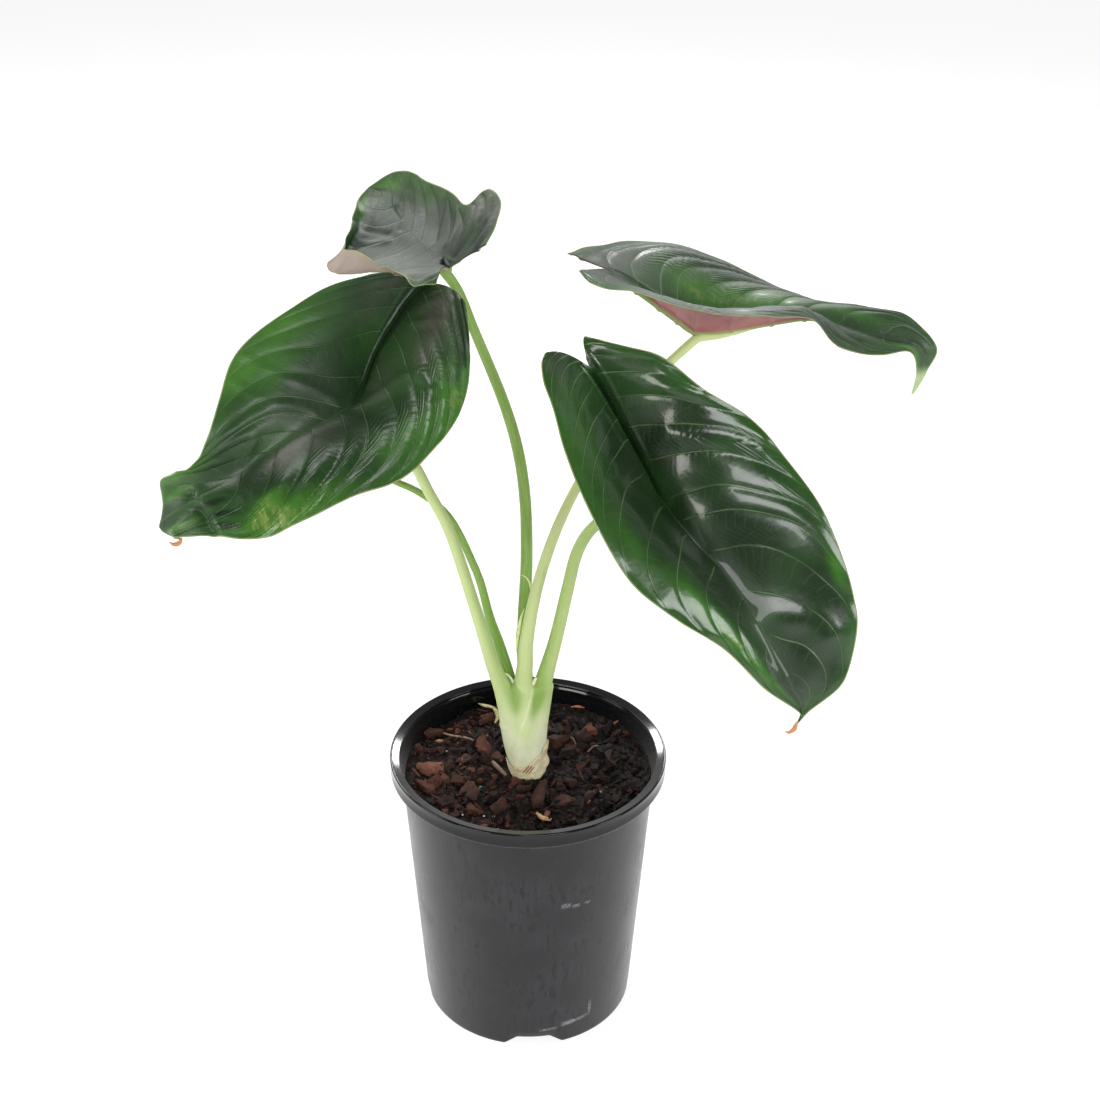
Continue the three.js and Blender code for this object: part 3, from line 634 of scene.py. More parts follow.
def blade(name, leaf, veins):
    """The rows of one blade and what its material needs at each point."""
    s_list = even_shares(leaf, GRID_STEP)[:-1]
    share = np.linspace(0, 1, HALF_COLUMNS + 1)
    t_list = 0.5 * share + 0.5 * ease(share)
    s, t = np.meshgrid(s_list, t_list, indexing="ij")
    halves = {}
    for side, sign in (("left", -1), ("right", 1)):
        points = half_blade(leaf, side, s, t)
        lean = veins["slope"] * t + veins["bend"] * t**6
        sigma = s - lean + 0.007 * lattice_noise(points, 26, 31) * ease(t / 0.2)
        starts = veins["veins_" + side]
        phase = np.interp(sigma, starts, np.arange(len(starts)))
        phase += np.minimum(0, sigma - starts[0]) / (starts[1] - starts[0])
        phase += np.maximum(0, sigma - starts[-1]) / (starts[-1] - starts[-2])
        gap = np.interp(sigma, starts[:-1], np.diff(starts))
        across = np.linalg.norm(np.diff(points, axis=1), axis=-1)
        rib = np.concatenate([np.zeros((len(s_list), 1)), np.cumsum(across, axis=1)], axis=1)
        runs = np.linalg.norm(np.gradient(points, axis=0), axis=-1)
        step = np.gradient(s, axis=0)
        spacing = gap * runs / step
        halves[side] = {
            "points": points,
            "s": s,
            "t": t,
            "phase": phase,
            "spacing": spacing,
            "swell": np.interp(phase, np.arange(len(starts) - 1) + 0.5, veins["swell_" + side]),
            "rib": rib,
            "edge": rib[:, -1:] - rib,
            # Signed patch strength: paler green above 0, painted shade below 0
            "bright": patches(PALER_GREEN_AND_PAINTED_SHADE[name], sign, s, t),
            "painted_sheen": patches(PAINTED_SHEEN[name], sign, s, t),
        }
    joined = {}
    for key in halves["left"]:
        left = halves["left"][key][:, :0:-1]
        right = halves["right"][key]
        joined[key] = np.concatenate([left, right], axis=1)
    columns = joined["s"].shape[1]
    middle = columns // 2
    sides = np.where(np.arange(columns) < middle, -1.0, 1.0)
    joined["side"] = sides[None, :] * np.ones_like(joined["s"])
    joined["tip"] = half_blade(leaf, "left", np.array([1.0]), np.array([0.0]))[0]
    for reach, start in FORM[name]["rounding"]:
        round_valley(joined, reach, veins["funnel"] + start)
    return joined


def round_valley(b, reach, start):
    """Rounds the fold between the halves over about `reach` millimetres, from share `start` on."""
    signed = b["rib"] * b["side"]
    width = np.gradient(signed, axis=1)
    gap = signed[:, :, None] - signed[:, None, :]
    weight = np.exp(-0.5 * (gap / reach) ** 2) * width[:, None, :]
    weight /= weight.sum(-1, keepdims=True)
    soft = np.einsum("rij,rj->ri", weight, b["points"][..., 2])
    share = ease((b["s"] - start) / 0.08) * ease(b["edge"] / 18)
    b["points"][..., 2] += (soft - b["points"][..., 2]) * share


def crease_distance(leaf, b, line):
    """Distance in millimetres from each point to a line of (side * share across, share along)."""
    nearest = np.full(b["s"].shape, 1e9)
    for across, along in curve(line, np.linspace(0, 1, 50)):
        side = "left" if across < 0 else "right"
        point = half_blade(leaf, side, np.array([along]), np.array([abs(across)]))[0]
        nearest = np.minimum(nearest, np.linalg.norm(b["points"] - point, axis=-1))
    return nearest


def surface_normals(points):
    """Unit normals of a blade's grid. At the midrib they are the mean of those of its halves."""
    middle = points.shape[1] // 2
    halves = []
    for half in (points[:, : middle + 1], points[:, middle:]):
        normal = np.cross(np.gradient(half, axis=0), np.gradient(half, axis=1))
        halves.append(normal / np.maximum(np.linalg.norm(normal, axis=-1, keepdims=True), 1e-9))
    shared = halves[0][:, -1:] + halves[1][:, :1]
    normal = np.concatenate([halves[0][:, :-1], shared, halves[1][:, 1:]], axis=1)
    return normal / np.maximum(np.linalg.norm(normal, axis=-1, keepdims=True), 1e-9)


def steadied(normal, rib, reach):
    """Normals turned near the midrib towards its own, so that points of a valley don't cross."""
    middle = normal[:, normal.shape[1] // 2][:, None, :]
    return normal + (middle - normal) * bell(rib, reach)[..., None]


def relief(name, leaf, veins, b):
    """Heights in millimetres that are added to the blade's middle surface along its normal."""
    s, t, rib = b["s"], b["t"], b["rib"]
    form = FORM[name]
    funnel = veins["funnel"]
    world = place_leaf(leaf, b["points"])
    # Pillows between the side veins, each skewed a little in its own way
    cell = np.floor(b["phase"])
    within = np.clip(b["phase"] - cell, 0, 1)
    skewed = within ** (1.35 + 0.5 * np.sin(7 * cell + 3 * b["side"]))
    pillow = 1 - np.abs(2 * skewed - 1) ** 3
    outward = ease((t - form["quilt_from"]) / 0.35) * (1 - ease((t - 0.88) / 0.12))
    reach = form["inner"] + (1 - form["inner"]) * outward
    reach = reach * np.minimum(1, 4 * (1 - s)) * ease(rib / 14) * b["swell"]
    height = form["quilt"] * (pillow - 0.7) * reach * np.clip(b["spacing"] / 16, 0.3, 1.2)
    # The groove ahead of the stalk, and the channel with its two raised edges behind it
    ahead = ease((s - funnel) / 0.06) * ease((0.92 - s) / 0.3)
    height -= form["groove"] * bell(rib, 5.0) * ahead
    behind = ease((funnel - s) / 0.06) * ease(s / 0.05)
    costa = 3.0 + 24 * np.maximum(0, funnel - s)
    height -= form["channel"] * bell(rib, 3.5) * behind
    height += 0.9 * bell(rib - costa, 1.8) * behind
    # Fine and broad lumps, and a ripple along the margin
    height += 0.16 * lattice_noise(world, 11, 5) * ease(rib / 12)
    height += form["lumps"] * lattice_noise(world, 34, 9) * ease(rib / 16) * ease(b["edge"] / 12)
    wave = np.sin(s * 46 + 3 * np.sin(s * 9) + 2 * b["side"])
    height += 0.55 * wave * bell(b["edge"], 7) * ease((1 - s) / 0.2)
    for line, width, rise in form["creases"]:
        height += rise * bell(crease_distance(leaf, b, line), width)
    return height


# How each blade is modelled in relief: the depth of its quilting, how much of it there is near the
# midrib and the share of the half width where it grows, the groove along the midrib ahead of the
# stalk and the channel behind it, and its broad lumps. `rounding` holds the reach in millimetres
# over which the fold between the halves is rounded and the share of the length after the funnel
# where that starts. A crease is a line of (side * share of half width, share of length) with its
# width and rise.
FORM = {
    "left": {
        "quilt": 1.35, "inner": 0.2, "quilt_from": 0.25, "groove": 0.1, "channel": 3.5, "lumps": 0.8,
        "rounding": ((13, -0.02),),
        "creases": (
            (((0.2, 0.8), (-0.1, 0.808), (-0.45, 0.82), (-0.75, 0.828), (-0.95, 0.818)), 2.6, -2.6),
            (((0.1, 0.78), (-0.2, 0.785), (-0.5, 0.795), (-0.8, 0.8)), 5.0, 1.6),
            (((-0.05, 0.72), (-0.35, 0.725), (-0.6, 0.745), (-0.9, 0.765)), 5.0, -1.2),
            (((0.35, 0.62), (0.1, 0.68), (0.0, 0.73)), 4.0, 0.9),
            (((0.95, 0.43), (0.7, 0.455), (0.4, 0.44), (0.1, 0.4)), 3.5, 0.7),
            (((0.95, 0.50), (0.7, 0.53), (0.4, 0.52), (0.15, 0.47)), 3.5, 0.6),
            (((-0.14, 0.18), (-0.2, 0.11), (-0.5, 0.05), (-0.65, 0.03)), 4.0, 1.2),
            (((-0.19, 0.18), (-0.5, 0.13), (-0.78, 0.14), (-0.87, 0.155)), 4.0, 1.6),
            (((-0.37, 0.155), (-0.62, 0.19), (-0.87, 0.165)), 4.0, -1.8),
            (((-0.05, 0.38), (-0.2, 0.335), (-0.35, 0.30), (-0.5, 0.28), (-0.7, 0.27)), 6.0, 2.0),
        ),
    },
    "right": {
        "quilt": 1.2, "inner": 0.1, "quilt_from": 0.25, "groove": 0.15, "channel": 4.5, "lumps": 0.3,
        "rounding": ((1.5, 0.0), (8, 0.1)),
        "creases": (
            (((-0.08, 0.665), (-0.3, 0.69), (-0.5, 0.715), (-0.65, 0.745)), 11.0, 2.4),
            (((-0.05, 0.395), (-0.3, 0.45), (-0.5, 0.49), (-0.7, 0.535), (-0.95, 0.6)), 24.0, 2.6),
            (((-0.38, 0.29), (-0.6, 0.335), (-0.8, 0.375), (-0.93, 0.40)), 9.0, 1.8),
            (((-0.7, 0.23), (-0.9, 0.27)), 7.0, 1.6),
        ),
    },
    "top_right": {
        "quilt": 0.85, "inner": 0.3, "quilt_from": 0.1, "groove": 0.8, "channel": 1.0, "lumps": 0.9,
        "rounding": ((4, 0.0),),
        "creases": (),
    },
    "top_left": {
        "quilt": 0.9, "inner": 0.2, "quilt_from": 0.3, "groove": 0.1, "channel": 0.6, "lumps": 1.0,
        "rounding": ((10, -0.1),),
        "creases": (
            (((0.92, 0.27), (0.65, 0.15)), 2.2, -2.6),
            (((0.98, 0.22), (0.78, 0.11)), 2.5, 1.2),
            (((-0.79, 0.81), (-0.7, 0.765), (-0.47, 0.72), (-0.3, 0.67)), 3.6, -1.5),
            (((-0.9, 0.76), (-0.6, 0.69), (-0.35, 0.64)), 3.5, 1.4),
            (((0.85, 0.5), (0.5, 0.47), (0.25, 0.43)), 3.0, -1.3),
            (((0.9, 0.4), (0.6, 0.36), (0.3, 0.33)), 3.0, 1.2),
            (((0.6, 0.3), (0.35, 0.26), (0.15, 0.2)), 3.5, -1.5),
            (((0.15, 0.75), (0.05, 0.68), (-0.1, 0.63)), 2.2, -1.0),
        ),
    },
    "hidden": {
        "quilt": 1.2, "inner": 0.2, "quilt_from": 0.3, "groove": 0.4, "channel": 2.0, "lumps": 0.8,
        "rounding": ((8, 0.0),),
        "creases": (),
    },
}


def blade_object(name, leaf, veins, material):
    """One blade as a thin closed shell with a keel and raised veins underneath."""
    b = blade(name, leaf, veins)
    normal = surface_normals(b["points"])
    b["points"] = b["points"] + steadied(normal, b["rib"], 14) * relief(name, leaf, veins, b)[..., None]
    normal = surface_normals(b["points"])
    # The blade thins at its margin, and a keel and raised veins stand out underneath
    thin = EDGE_THICKNESS + (BLADE_THICKNESS - EDGE_THICKNESS) * ease(b["edge"] / 5)
    keel_reach = (1 - b["s"]) ** 0.8 * ease(b["s"] / 0.08) * (1 - ease((b["s"] - 0.62) / 0.15))
    keel = KEEL_DEPTH * bell(b["rib"], KEEL_WIDTH) * keel_reach
    vein_gap = np.abs(b["phase"] - np.round(b["phase"])) * b["spacing"]
    raised = 0.8 * bell(vein_gap, 1.6) * ease(b["edge"] / 14) * ease((1 - b["s"]) / 0.3)
    upper = place_leaf(leaf, b["points"] + normal * (thin / 2)[..., None])
    down = steadied(normal, b["rib"], 9)
    lower = b["points"] - normal * (thin / 2 + raised)[..., None] - down * keel[..., None]
    lower = place_leaf(leaf, lower)
    tip = place_leaf(leaf, b["tip"])
    rows, columns = b["s"].shape
    count = rows * columns
    points = np.concatenate([upper.reshape(-1, 3), lower.reshape(-1, 3), [tip]])
    faces = grid_faces(rows, columns).tolist()
    faces += grid_faces(rows, columns, count, flip=True).tolist()
    # Faces that close the two margins, the back edge and the tip
    for i in range(rows - 1):
        left = i * columns
        first = (left, left + columns, left + columns + count, left + count)
        right = left + columns - 1
        second = (right + columns, right, right + count, right + columns + count)
        faces += [first, second]
    last = (rows - 1) * columns
    for j in range(columns - 1):
        faces.append((j + 1, j, j + count, j + 1 + count))
        faces.append((last + j, last + j + 1, 2 * count))
        faces.append((last + j + 1 + count, last + j + count, 2 * count))
    faces.append((last, 2 * count, last + count))
    faces.append((2 * count, last + columns - 1, last + columns - 1 + count))
    values = {}
    for key in ("s", "t", "phase", "spacing", "swell", "rib", "edge", "bright", "painted_sheen", "side"):
        flat = b[key].ravel()
        values["leaf_" + key] = np.concatenate([flat, flat, [flat[-1]]])
    values["leaf_under"] = np.concatenate([np.zeros(count), np.ones(count), [0.5]])
    made = new_object("leaf_" + name, points, faces, values)
    made.data.materials.append(material)
    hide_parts("blade_" + name)
    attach(made, "root")


class LeafShader(Shader):
    """A leaf's material, from the values that its mesh carries and its own row of looks."""

    def __init__(self, name, look):
        super().__init__("leaf_" + name)
        self.look = look
        carried = ("s", "t", "rib", "edge", "under", "phase", "spacing", "swell")
        self.s, self.t, self.rib, self.edge, self.under, phase, spacing, swell = (
            self.value("leaf_" + key) for key in carried
        )
        self.cloud = self.noise(22, 4)
        self.fine = self.noise(140, 5, 0.6)
        # Distance to the nearest side vein, in millimetres
        self.apart = self.times(self.math("PINGPONG", phase, 0.5), spacing)
        # Fine cross veins, as chevrons that point along the side veins
        run = self.total(self.rib, (self.apart, 0.55), (self.cloud, 7.0))
        self.ripple = self.math("PINGPONG", self.times(run, 0.23), 0.5)
        self.fine_ripple = self.math("PINGPONG", self.times(run, 0.61), 0.5)
        self.net = self.ramp(self.ripple, 0.0, 0.1, 1.0, 0.0)
        # Fine striations that run out along the side veins
        self.lines = self.noise(1.0, 4, 0.65, self.outward(170, 5))
        # How crisply the pillows between the veins are modelled
        self.crisp = self.times(self.ramp(self.t, 0.3, 0.6, 0.15, 1.0), self.ramp(swell, 0.5, 1.1))

    def outward(self, along, across):
        """A place for noise that is drawn out towards the margin."""
        return self.vector(self.times(self.s, along), self.times(self.t, across), self.under)

    def side_veins(self):
        """The thin pale side veins, faded near the midrib and the margin."""
        reach = self.times(self.ramp(self.rib, 3.0, 9.0), self.ramp(self.edge, 1.5, 5.0))
        vein = self.times(self.ramp(self.apart, 0.15, 0.9, 1.0, 0.0), reach)
        return self.times(vein, self.ramp(self.noise(38, 2), 0.35, 0.62, 0.25, 1.0))

    def thread(self):
        """A painted highlight: a silvery line along the wall of the channel behind the stalk."""
        funnel = self.look["funnel"]
        thread = self.times(self.ramp(self.rib, 2.2, 3.4), self.ramp(self.rib, 3.8, 5.6, 1.0, 0.0))
        for reach in (
            self.ramp(self.value("leaf_side"), 0.2, 0.8),
            self.ramp(self.s, 0.05, 0.14),
            self.ramp(self.s, funnel - 0.08, funnel - 0.02, 1.0, 0.0),
            self.ramp(self.fine, 0.4, 0.6, 0.35, 1.0),
        ):
            thread = self.times(thread, reach)
        return thread

    def upper_colour(self):
        """Greens with paler and yellow patches and painted shade, painted sheen in grey patches and
        silvery striations, a painted highlight along the channel, veins, and the pale line of the margin.
        """
        look = self.look
        # Patch strength: paler green above 0, painted shade where it is below 0
        glow = self.times(self.value("leaf_bright"), self.ramp(self.fine, 0.3, 0.7, 0.75, 1.15))
        band = self.ramp(self.edge, 2.0, 13.0, 1.0, 0.0)
        bright = self.plus(glow, self.times(band, 0.3), clamp=True)
        streaky = self.ramp(self.noise(1.0, 3, 0.6, self.outward(95, 3)), 0.4, 0.6, 0.15, 1.0)
        pale = self.times(self.ramp(glow, 1.0, 1.8, 0.0, 0.8), streaky)
        # Painted sheen: a grey reflection painted into the colour in soft patches, streaked along the
        # veins
        brushed = self.ramp(self.lines, 0.3, 0.7, 0.35, 0.9)
        sheen = self.times(self.value("leaf_painted_sheen"), brushed, clamp=True)
        sheen = self.times(sheen, self.ramp(self.cloud, 0.3, 0.6, 0.6, 1.0))
        ahead = self.ramp(self.s, look["funnel"] - 0.02, look["funnel"] + 0.05)
        midrib = self.times(self.ramp(self.rib, 0.5, 1.6, 1.0, 0.0), ahead)
        return self.layered(
            look["dark"],
            (self.ramp(self.cloud, 0.38, 0.66), 1, look["mid"]),
            (bright, 1, look["bright"]),
            (pale, 1, look["pale"]),
            # Painted shade from the patches whose strength is below 0
            (self.ramp(glow, -1.0, 0.0, 0.8, 0.0), 1, look["deep"]),
            (sheen, 1, look["painted_sheen"]),
            # Silvery striations: furrows whose colour is painted sheen
            (self.ramp(self.lines, 0.55, 0.75), look["lines"], look["silver"]),
            (self.net, look["net"], look["vein"]),
            (self.side_veins(), look["vein_share"], look["vein"]),
            # Painted highlight along the wall of the channel
            (self.thread(), look["thread"], PAINTED_GLINT_COLOUR),
            (midrib, 0.12, look["vein"]),
            (self.ramp(self.edge, 0.45, 1.1, 1.0, 0.0), 0.8, look["margin"]),
        )

    def lower_colour(self):
        """The pinkish underside, with paler veins and a green keel."""
        look = self.look
        return self.layered(
            look["under"],
            (self.ramp(self.cloud, 0.35, 0.65), 1, look["under_deep"]),
            (self.ramp(self.apart, 0.3, 3.5, 1.0, 0.0), 0.22, look["under_vein"]),
            (self.net, 0.15, look["under_vein"]),
            (self.ramp(self.rib, 1.6, 3.6, 1.0, 0.0), 1, look["keel"]),
            (self.ramp(self.edge, 0.6, 1.8, 1.0, 0.0), 0.9, look["margin"]),
        )

    def height(self):
        """Relief that is too fine for the mesh."""
        comb = self.ramp(self.ripple, 0.0, 0.4)
        fine_comb = self.ramp(self.fine_ripple, 0.0, 0.5)
        ridges = self.total(0.0, (comb, self.look["comb"]), (fine_comb, 0.12))
        outer = self.times(self.crisp, self.ramp(self.noise(30, 2), 0.35, 0.6))
        return self.total(
            0.0,
            (self.ramp(self.apart, 0.0, 1.3), 0.55),
            (ridges, outer),
            (self.fine, 0.12),
            (self.noise(60, 3), 0.5),
            (self.lines, self.look["furrow"]),
        )

    def roughness(self):
        """Duller near the back and beside the midrib, and smoother on the pillows."""
        look = self.look
        ahead = self.ramp(self.s, look["funnel"], look["funnel"] + 0.08)
        return self.total(
            look["rough"],
            (self.fine, 0.1),
            (self.crisp, -look["polish"]),
            (self.ramp(self.s, look["matte"], look["matte"] + 0.15, 0.22, 0.0), 1),
            (self.times(self.ramp(self.rib, 4.0, 20.0, 1.0, 0.0), ahead), look["dull"]),
            (self.under, 0.25),
        )


def leaf_material(name, look):
    """The skin of one leaf, green above, pink below and withered at its tip."""
    shade = LeafShader(name, look)
    underneath = shade.ramp(shade.under, 0.45, 0.55)
    colour = shade.mix(underneath, shade.upper_colour(), shade.lower_colour())
    tip = shade.ramp(shade.s, look["tip"], look["tip"] + look["tip_fade"])
    shade.set(Base_Color=shade.mix(tip, colour, look["tip_colour"]))
    shade.set(Roughness=shade.roughness(), IOR=1.48, Specular_IOR_Level=look["specular"])
    shade.set(Coat_Weight=look["coat"], Coat_Roughness=look["coat_rough"])
    shade.set(Normal=shade.bump(shade.height(), 1.0 * MM, look["bump"]))
    return shade.material


PAINTED_GLINT_COLOUR = (0.52, 0.57, 0.55)
# Colours and finish of a leaf. `lines` and `silver` are the share and colour of its striations,
# furrows whose silvery colour is painted sheen, and `furrow` their depth, `net` the share of the
# fine cross veins and `comb` their depth. `deep` is the colour of painted shade, the grey colour
# that of painted sheen, and `thread` the share of the painted highlight along the channel. It is
# matte behind share `matte` of the length, duller by `dull` beside the midrib ahead of the stalk,
# and smoother by `polish` on the pillows. Beyond share `tip` it has withered.
LOOK = {
    "dark": (0.006, 0.020, 0.005),
    "mid": (0.012, 0.044, 0.009),
    "bright": (0.036, 0.115, 0.013),
    "painted_sheen": (0.05, 0.06, 0.045),
    "pale": (0.26, 0.33, 0.09),
    "deep": (0.004, 0.013, 0.005),
    "silver": (0.16, 0.18, 0.15),
    "lines": 0.08,
    "furrow": 0.15,
    "matte": -0.2,
    "dull": 0.0,
    "thread": 0.0,
    "vein": (0.055, 0.11, 0.038),
    "vein_share": 0.4,
    "net": 0.06,
    "margin": (0.30, 0.36, 0.14),
    "under": (0.25, 0.085, 0.08),
    "under_deep": (0.15, 0.03, 0.035),
    "under_vein": (0.3, 0.17, 0.13),
    "keel": (0.22, 0.3, 0.10),
    "tip": 0.97,
    "tip_fade": 0.012,
    "tip_colour": (0.42, 0.19, 0.08),
    "rough": 0.26,
    "specular": 0.5,
    "coat": 0.2,
    "coat_rough": 0.2,
    "bump": 0.4,
    "comb": 0.35,
    "polish": 0.08,
}

# What each leaf has of its own in place of LOOK
OWN_LOOK = {
    "left": {
        "rough": 0.35, "coat": 0.1, "specular": 0.42, "polish": 0.16, "bump": 0.6, "comb": 0.65,
        "matte": 0.16, "lines": 0.12, "furrow": 0.35, "net": 0.12, "thread": 0.8, "tip": 0.985,
        "dark": (0.011, 0.036, 0.009), "mid": (0.024, 0.076, 0.016),
        "bright": (0.05, 0.165, 0.018), "painted_sheen": (0.08, 0.078, 0.062),
        "vein": (0.11, 0.19, 0.075), "vein_share": 0.5,
        "under": (0.3, 0.2, 0.17), "under_deep": (0.24, 0.13, 0.115),
    },
    "right": {
        "rough": 0.17, "coat": 0.34, "coat_rough": 0.07, "specular": 0.4, "polish": 0.04,
        "bump": 0.6, "comb": 1.2, "net": 0.1, "dull": 0.3, "thread": 0.7, "tip": 0.955,
        "dark": (0.010, 0.027, 0.008), "mid": (0.017, 0.056, 0.012),
        "bright": (0.034, 0.13, 0.012), "vein": (0.11, 0.2, 0.075), "vein_share": 0.65,
    },
    "top_right": {
        "rough": 0.52, "matte": 0.1, "lines": 0.3, "furrow": 0.4, "comb": 0.9,
        "dark": (0.011, 0.034, 0.009), "mid": (0.02, 0.062, 0.014),
        "bright": (0.045, 0.15, 0.018), "silver": (0.24, 0.27, 0.24),
        "vein": (0.15, 0.21, 0.12), "vein_share": 0.6,
        "under": (0.31, 0.11, 0.10), "under_deep": (0.20, 0.045, 0.05),
        "tip": 0.89, "tip_fade": 0.05, "tip_colour": (0.42, 0.54, 0.27),
    },
    "top_left": {
        "rough": 0.46, "coat": 0.0, "lines": 0.4, "furrow": 0.7, "thread": 0.5, "tip": 1.0,
        "dark": (0.011, 0.028, 0.011), "mid": (0.024, 0.055, 0.019),
        "bright": (0.055, 0.165, 0.025), "painted_sheen": (0.10, 0.11, 0.095),
        "deep": (0.006, 0.013, 0.009), "silver": (0.32, 0.35, 0.32),
        "under": (0.37, 0.30, 0.26), "under_deep": (0.31, 0.25, 0.21),
        "under_vein": (0.33, 0.3, 0.22),
    },
    "hidden": {"tip": 1.0},
}


# Stalks and stem


def stalk_line(name, leaf):
    """The stalk from inside the stem to under the midrib: its middle line in even steps, the
    distance of each point from the first above the stem, the length from there, and the radii."""
    nearest = min(leaf["spine"], key=lambda p: np.linalg.norm(p))
    end = place_leaf(leaf, np.array(nearest, float) - (0, 0, FORM[name]["channel"] + 2.5))
    share = np.linspace(0, 1, 300)
    above = curve([*leaf["stalk"], tuple(end)], share)
    thick = curve(leaf["radius"], share)[:, 0] + SHEATH_WALL * bell(share, 0.12)
    root = np.array(SHEATHS[name], float)
    start = leaf["spine"].index(nearest) / (len(leaf["spine"]) - 1)
    ahead = curve(leaf["spine"], start + np.array([0.04, 0.08, 0.12]))
    taper = thick[-1] * np.array([0.75, 0.6, 0.45])
    ahead[:, 2] -= (taper + 0.9) * (1, 0.75, 0.2)
    joined = np.concatenate([root[:, :3], above, place_leaf(leaf, ahead)])
    radius = np.concatenate([root[:, 3], thick, taper])
    run = np.concatenate([[0], np.cumsum(np.linalg.norm(np.diff(joined, axis=0), axis=1))])
    even = np.linspace(0, run[-1], int(run[-1] / STALK_STEP) + 1)
    line = np.stack([np.interp(even, run, joined[:, k]) for k in range(3)], -1)
    size = np.interp(even, run, radius)
    if name == "top_right":
        # The youngest stalk stands inside the sheaths of the others
        line[:, 1] += 6.0 * ease((line[:, 2] - 200) / 26) * ease((315 - line[:, 2]) / 55)
    for _ in range(3):
        line[1:-1] = (line[:-2] + 2 * line[1:-1] + line[2:]) / 4
        size[1:-1] = (size[:-2] + 2 * size[1:-1] + size[2:]) / 4
    return line, even - run[len(root)], even[-1] - run[len(root)], size


# Sheaths below the first point of each stalk, from the foot up: x, y, z, radius
SHEATHS = {
    "left": (
        (-3.5, -1, 192, 9.0), (-4.5, -2, 203, 9.2), (-7.2, -3, 214, 9.2), (-9.8, -4, 226, 8.8),
        (-12.2, -4.5, 238, 8.0),
    ),
    "right": (
        (1.6, -1, 192, 9.1), (1.7, -2, 203, 9.4), (2.2, -2.5, 214, 9.4), (3.2, -3, 226, 9.0),
        (5, -2.5, 238, 8.1),
    ),
    "top_right": (
        (-1, -3, 192, 9.0), (-1.4, -4, 203, 9.4), (-2.4, -5.5, 214, 9.3), (-3.4, -7.5, 226, 8.4),
        (-4, -9, 238, 7.3),
    ),
    "top_left": (
        (-1, 1, 192, 9.0), (-1.4, 2, 203, 8.8), (-1.8, 4, 214, 8.2), (-2, 6, 226, 7.4),
        (-2, 8, 238, 6.5),
    ),
    "hidden": (
        (-3, 1, 192, 7.0), (-4, 2, 203, 7.0), (-6, 3, 214, 6.8), (-8, 4, 226, 6.2),
        (-9.2, 4.5, 238, 5.2),
    ),
}


def tube(line, radius, sides):
    """Points and faces of a closed tube along a line."""
    heading = np.gradient(line, axis=0)
    heading /= np.linalg.norm(heading, axis=1, keepdims=True)
    side = np.cross(heading[0], [0, 1, 0])
    rings = []
    for place, ahead, size in zip(line, heading, radius):
        side = side - ahead * np.dot(side, ahead)
        side /= np.linalg.norm(side)
        other = np.cross(ahead, side)
        angle = np.linspace(0, 2 * pi, sides, endpoint=False)[:, None]
        rings.append(place + size * (np.cos(angle) * side + np.sin(angle) * other))
    points = np.concatenate(rings)
    faces = grid_faces(len(line), sides, closed=True).tolist()
    faces.append(list(range(sides))[::-1])
    faces.append([len(points) - sides + k for k in range(sides)])
    return points, faces


# Middle of the stem: x, y, z, radius
STEM_RINGS = (
    (0, 0, 150, 9.5), (0, 0, 172, 10.5), (-0.5, -1, 188, 11.3), (-1.2, -1.5, 198, 12),
    (-2.2, -2, 210, 13.1), (-3.1, -2.5, 222, 14), (-3.6, -2.6, 234, 14.2), (-3.9, -2.6, 245, 12.9),
    (-4, -3.2, 256, 10.9), (-4, -4, 265, 9.0), (-3.9, -4.4, 272, 7.6),
)


def plant_body():
    """Stalks and stem as one smooth skin, and the lines of the stalks inside it."""
    points, faces = [], []
    lines = {}
    for name, leaf in LEAVES.items():
        line, run, length, radius = stalk_line(name, leaf)
        lines[name] = (line, run, length, radius)
        add_tube(points, faces, line, radius, STALK_SIDES)
    rings = curve(STEM_RINGS, np.linspace(0, 1, 60))
    add_tube(points, faces, rings[:, :3], rings[:, 3], 48)
    rough = new_object("stalks_and_stem", np.concatenate(points), faces)
    remesh = rough.modifiers.new("skin", "REMESH")
    remesh.mode = "VOXEL"
    remesh.voxel_size = STEM_VOXEL * MM
    relax = rough.modifiers.new("relax", "SMOOTH")
    relax.factor = 0.5
    relax.iterations = 5
    graph = bpy.context.evaluated_depsgraph_get()
    mesh = bpy.data.meshes.new_from_object(rough.evaluated_get(graph))
    rough.modifiers.clear()
    rough.data = mesh
    mesh.shade_smooth()
    place = read_vectors(mesh.vertices, "co") / MM
    normal = read_vectors(mesh.vertices, "normal")
    place = place + normal * sheath_edges(place)[:, None]
    mesh.vertices.foreach_set("co", (place * MM).ravel())
    mesh.update()
    return rough, place, lines


def add_tube(points, faces, line, radius, sides):
    """Adds a tube to the lists of points and faces."""
    own_points, own_faces = tube(line, radius, sides)
    offset = sum(len(p) for p in points)
    points.append(own_points)
    faces += [[index + offset for index in face] for face in own_faces]


def read_vectors(items, key):
    """An array of the vectors that a mesh keeps under this key."""
    flat = np.zeros(len(items) * 3)
    items.foreach_get(key, flat)
    return flat.reshape(-1, 3)


def seam_line(z):
    """Where the front edge of the right-hand sheath runs across the stem at height z."""
    return np.interp(z, (200, 212, 222, 240, 256, 270), (-14, -14, -11.5, -6, -0.5, 3.5))


def left_edge(x):
    """Height of the left-hand sheath's upper edge."""
    return np.interp(x, (-16, -13, -10, -6, 0, 4), (300, 284, 276, 271, 267, 266))


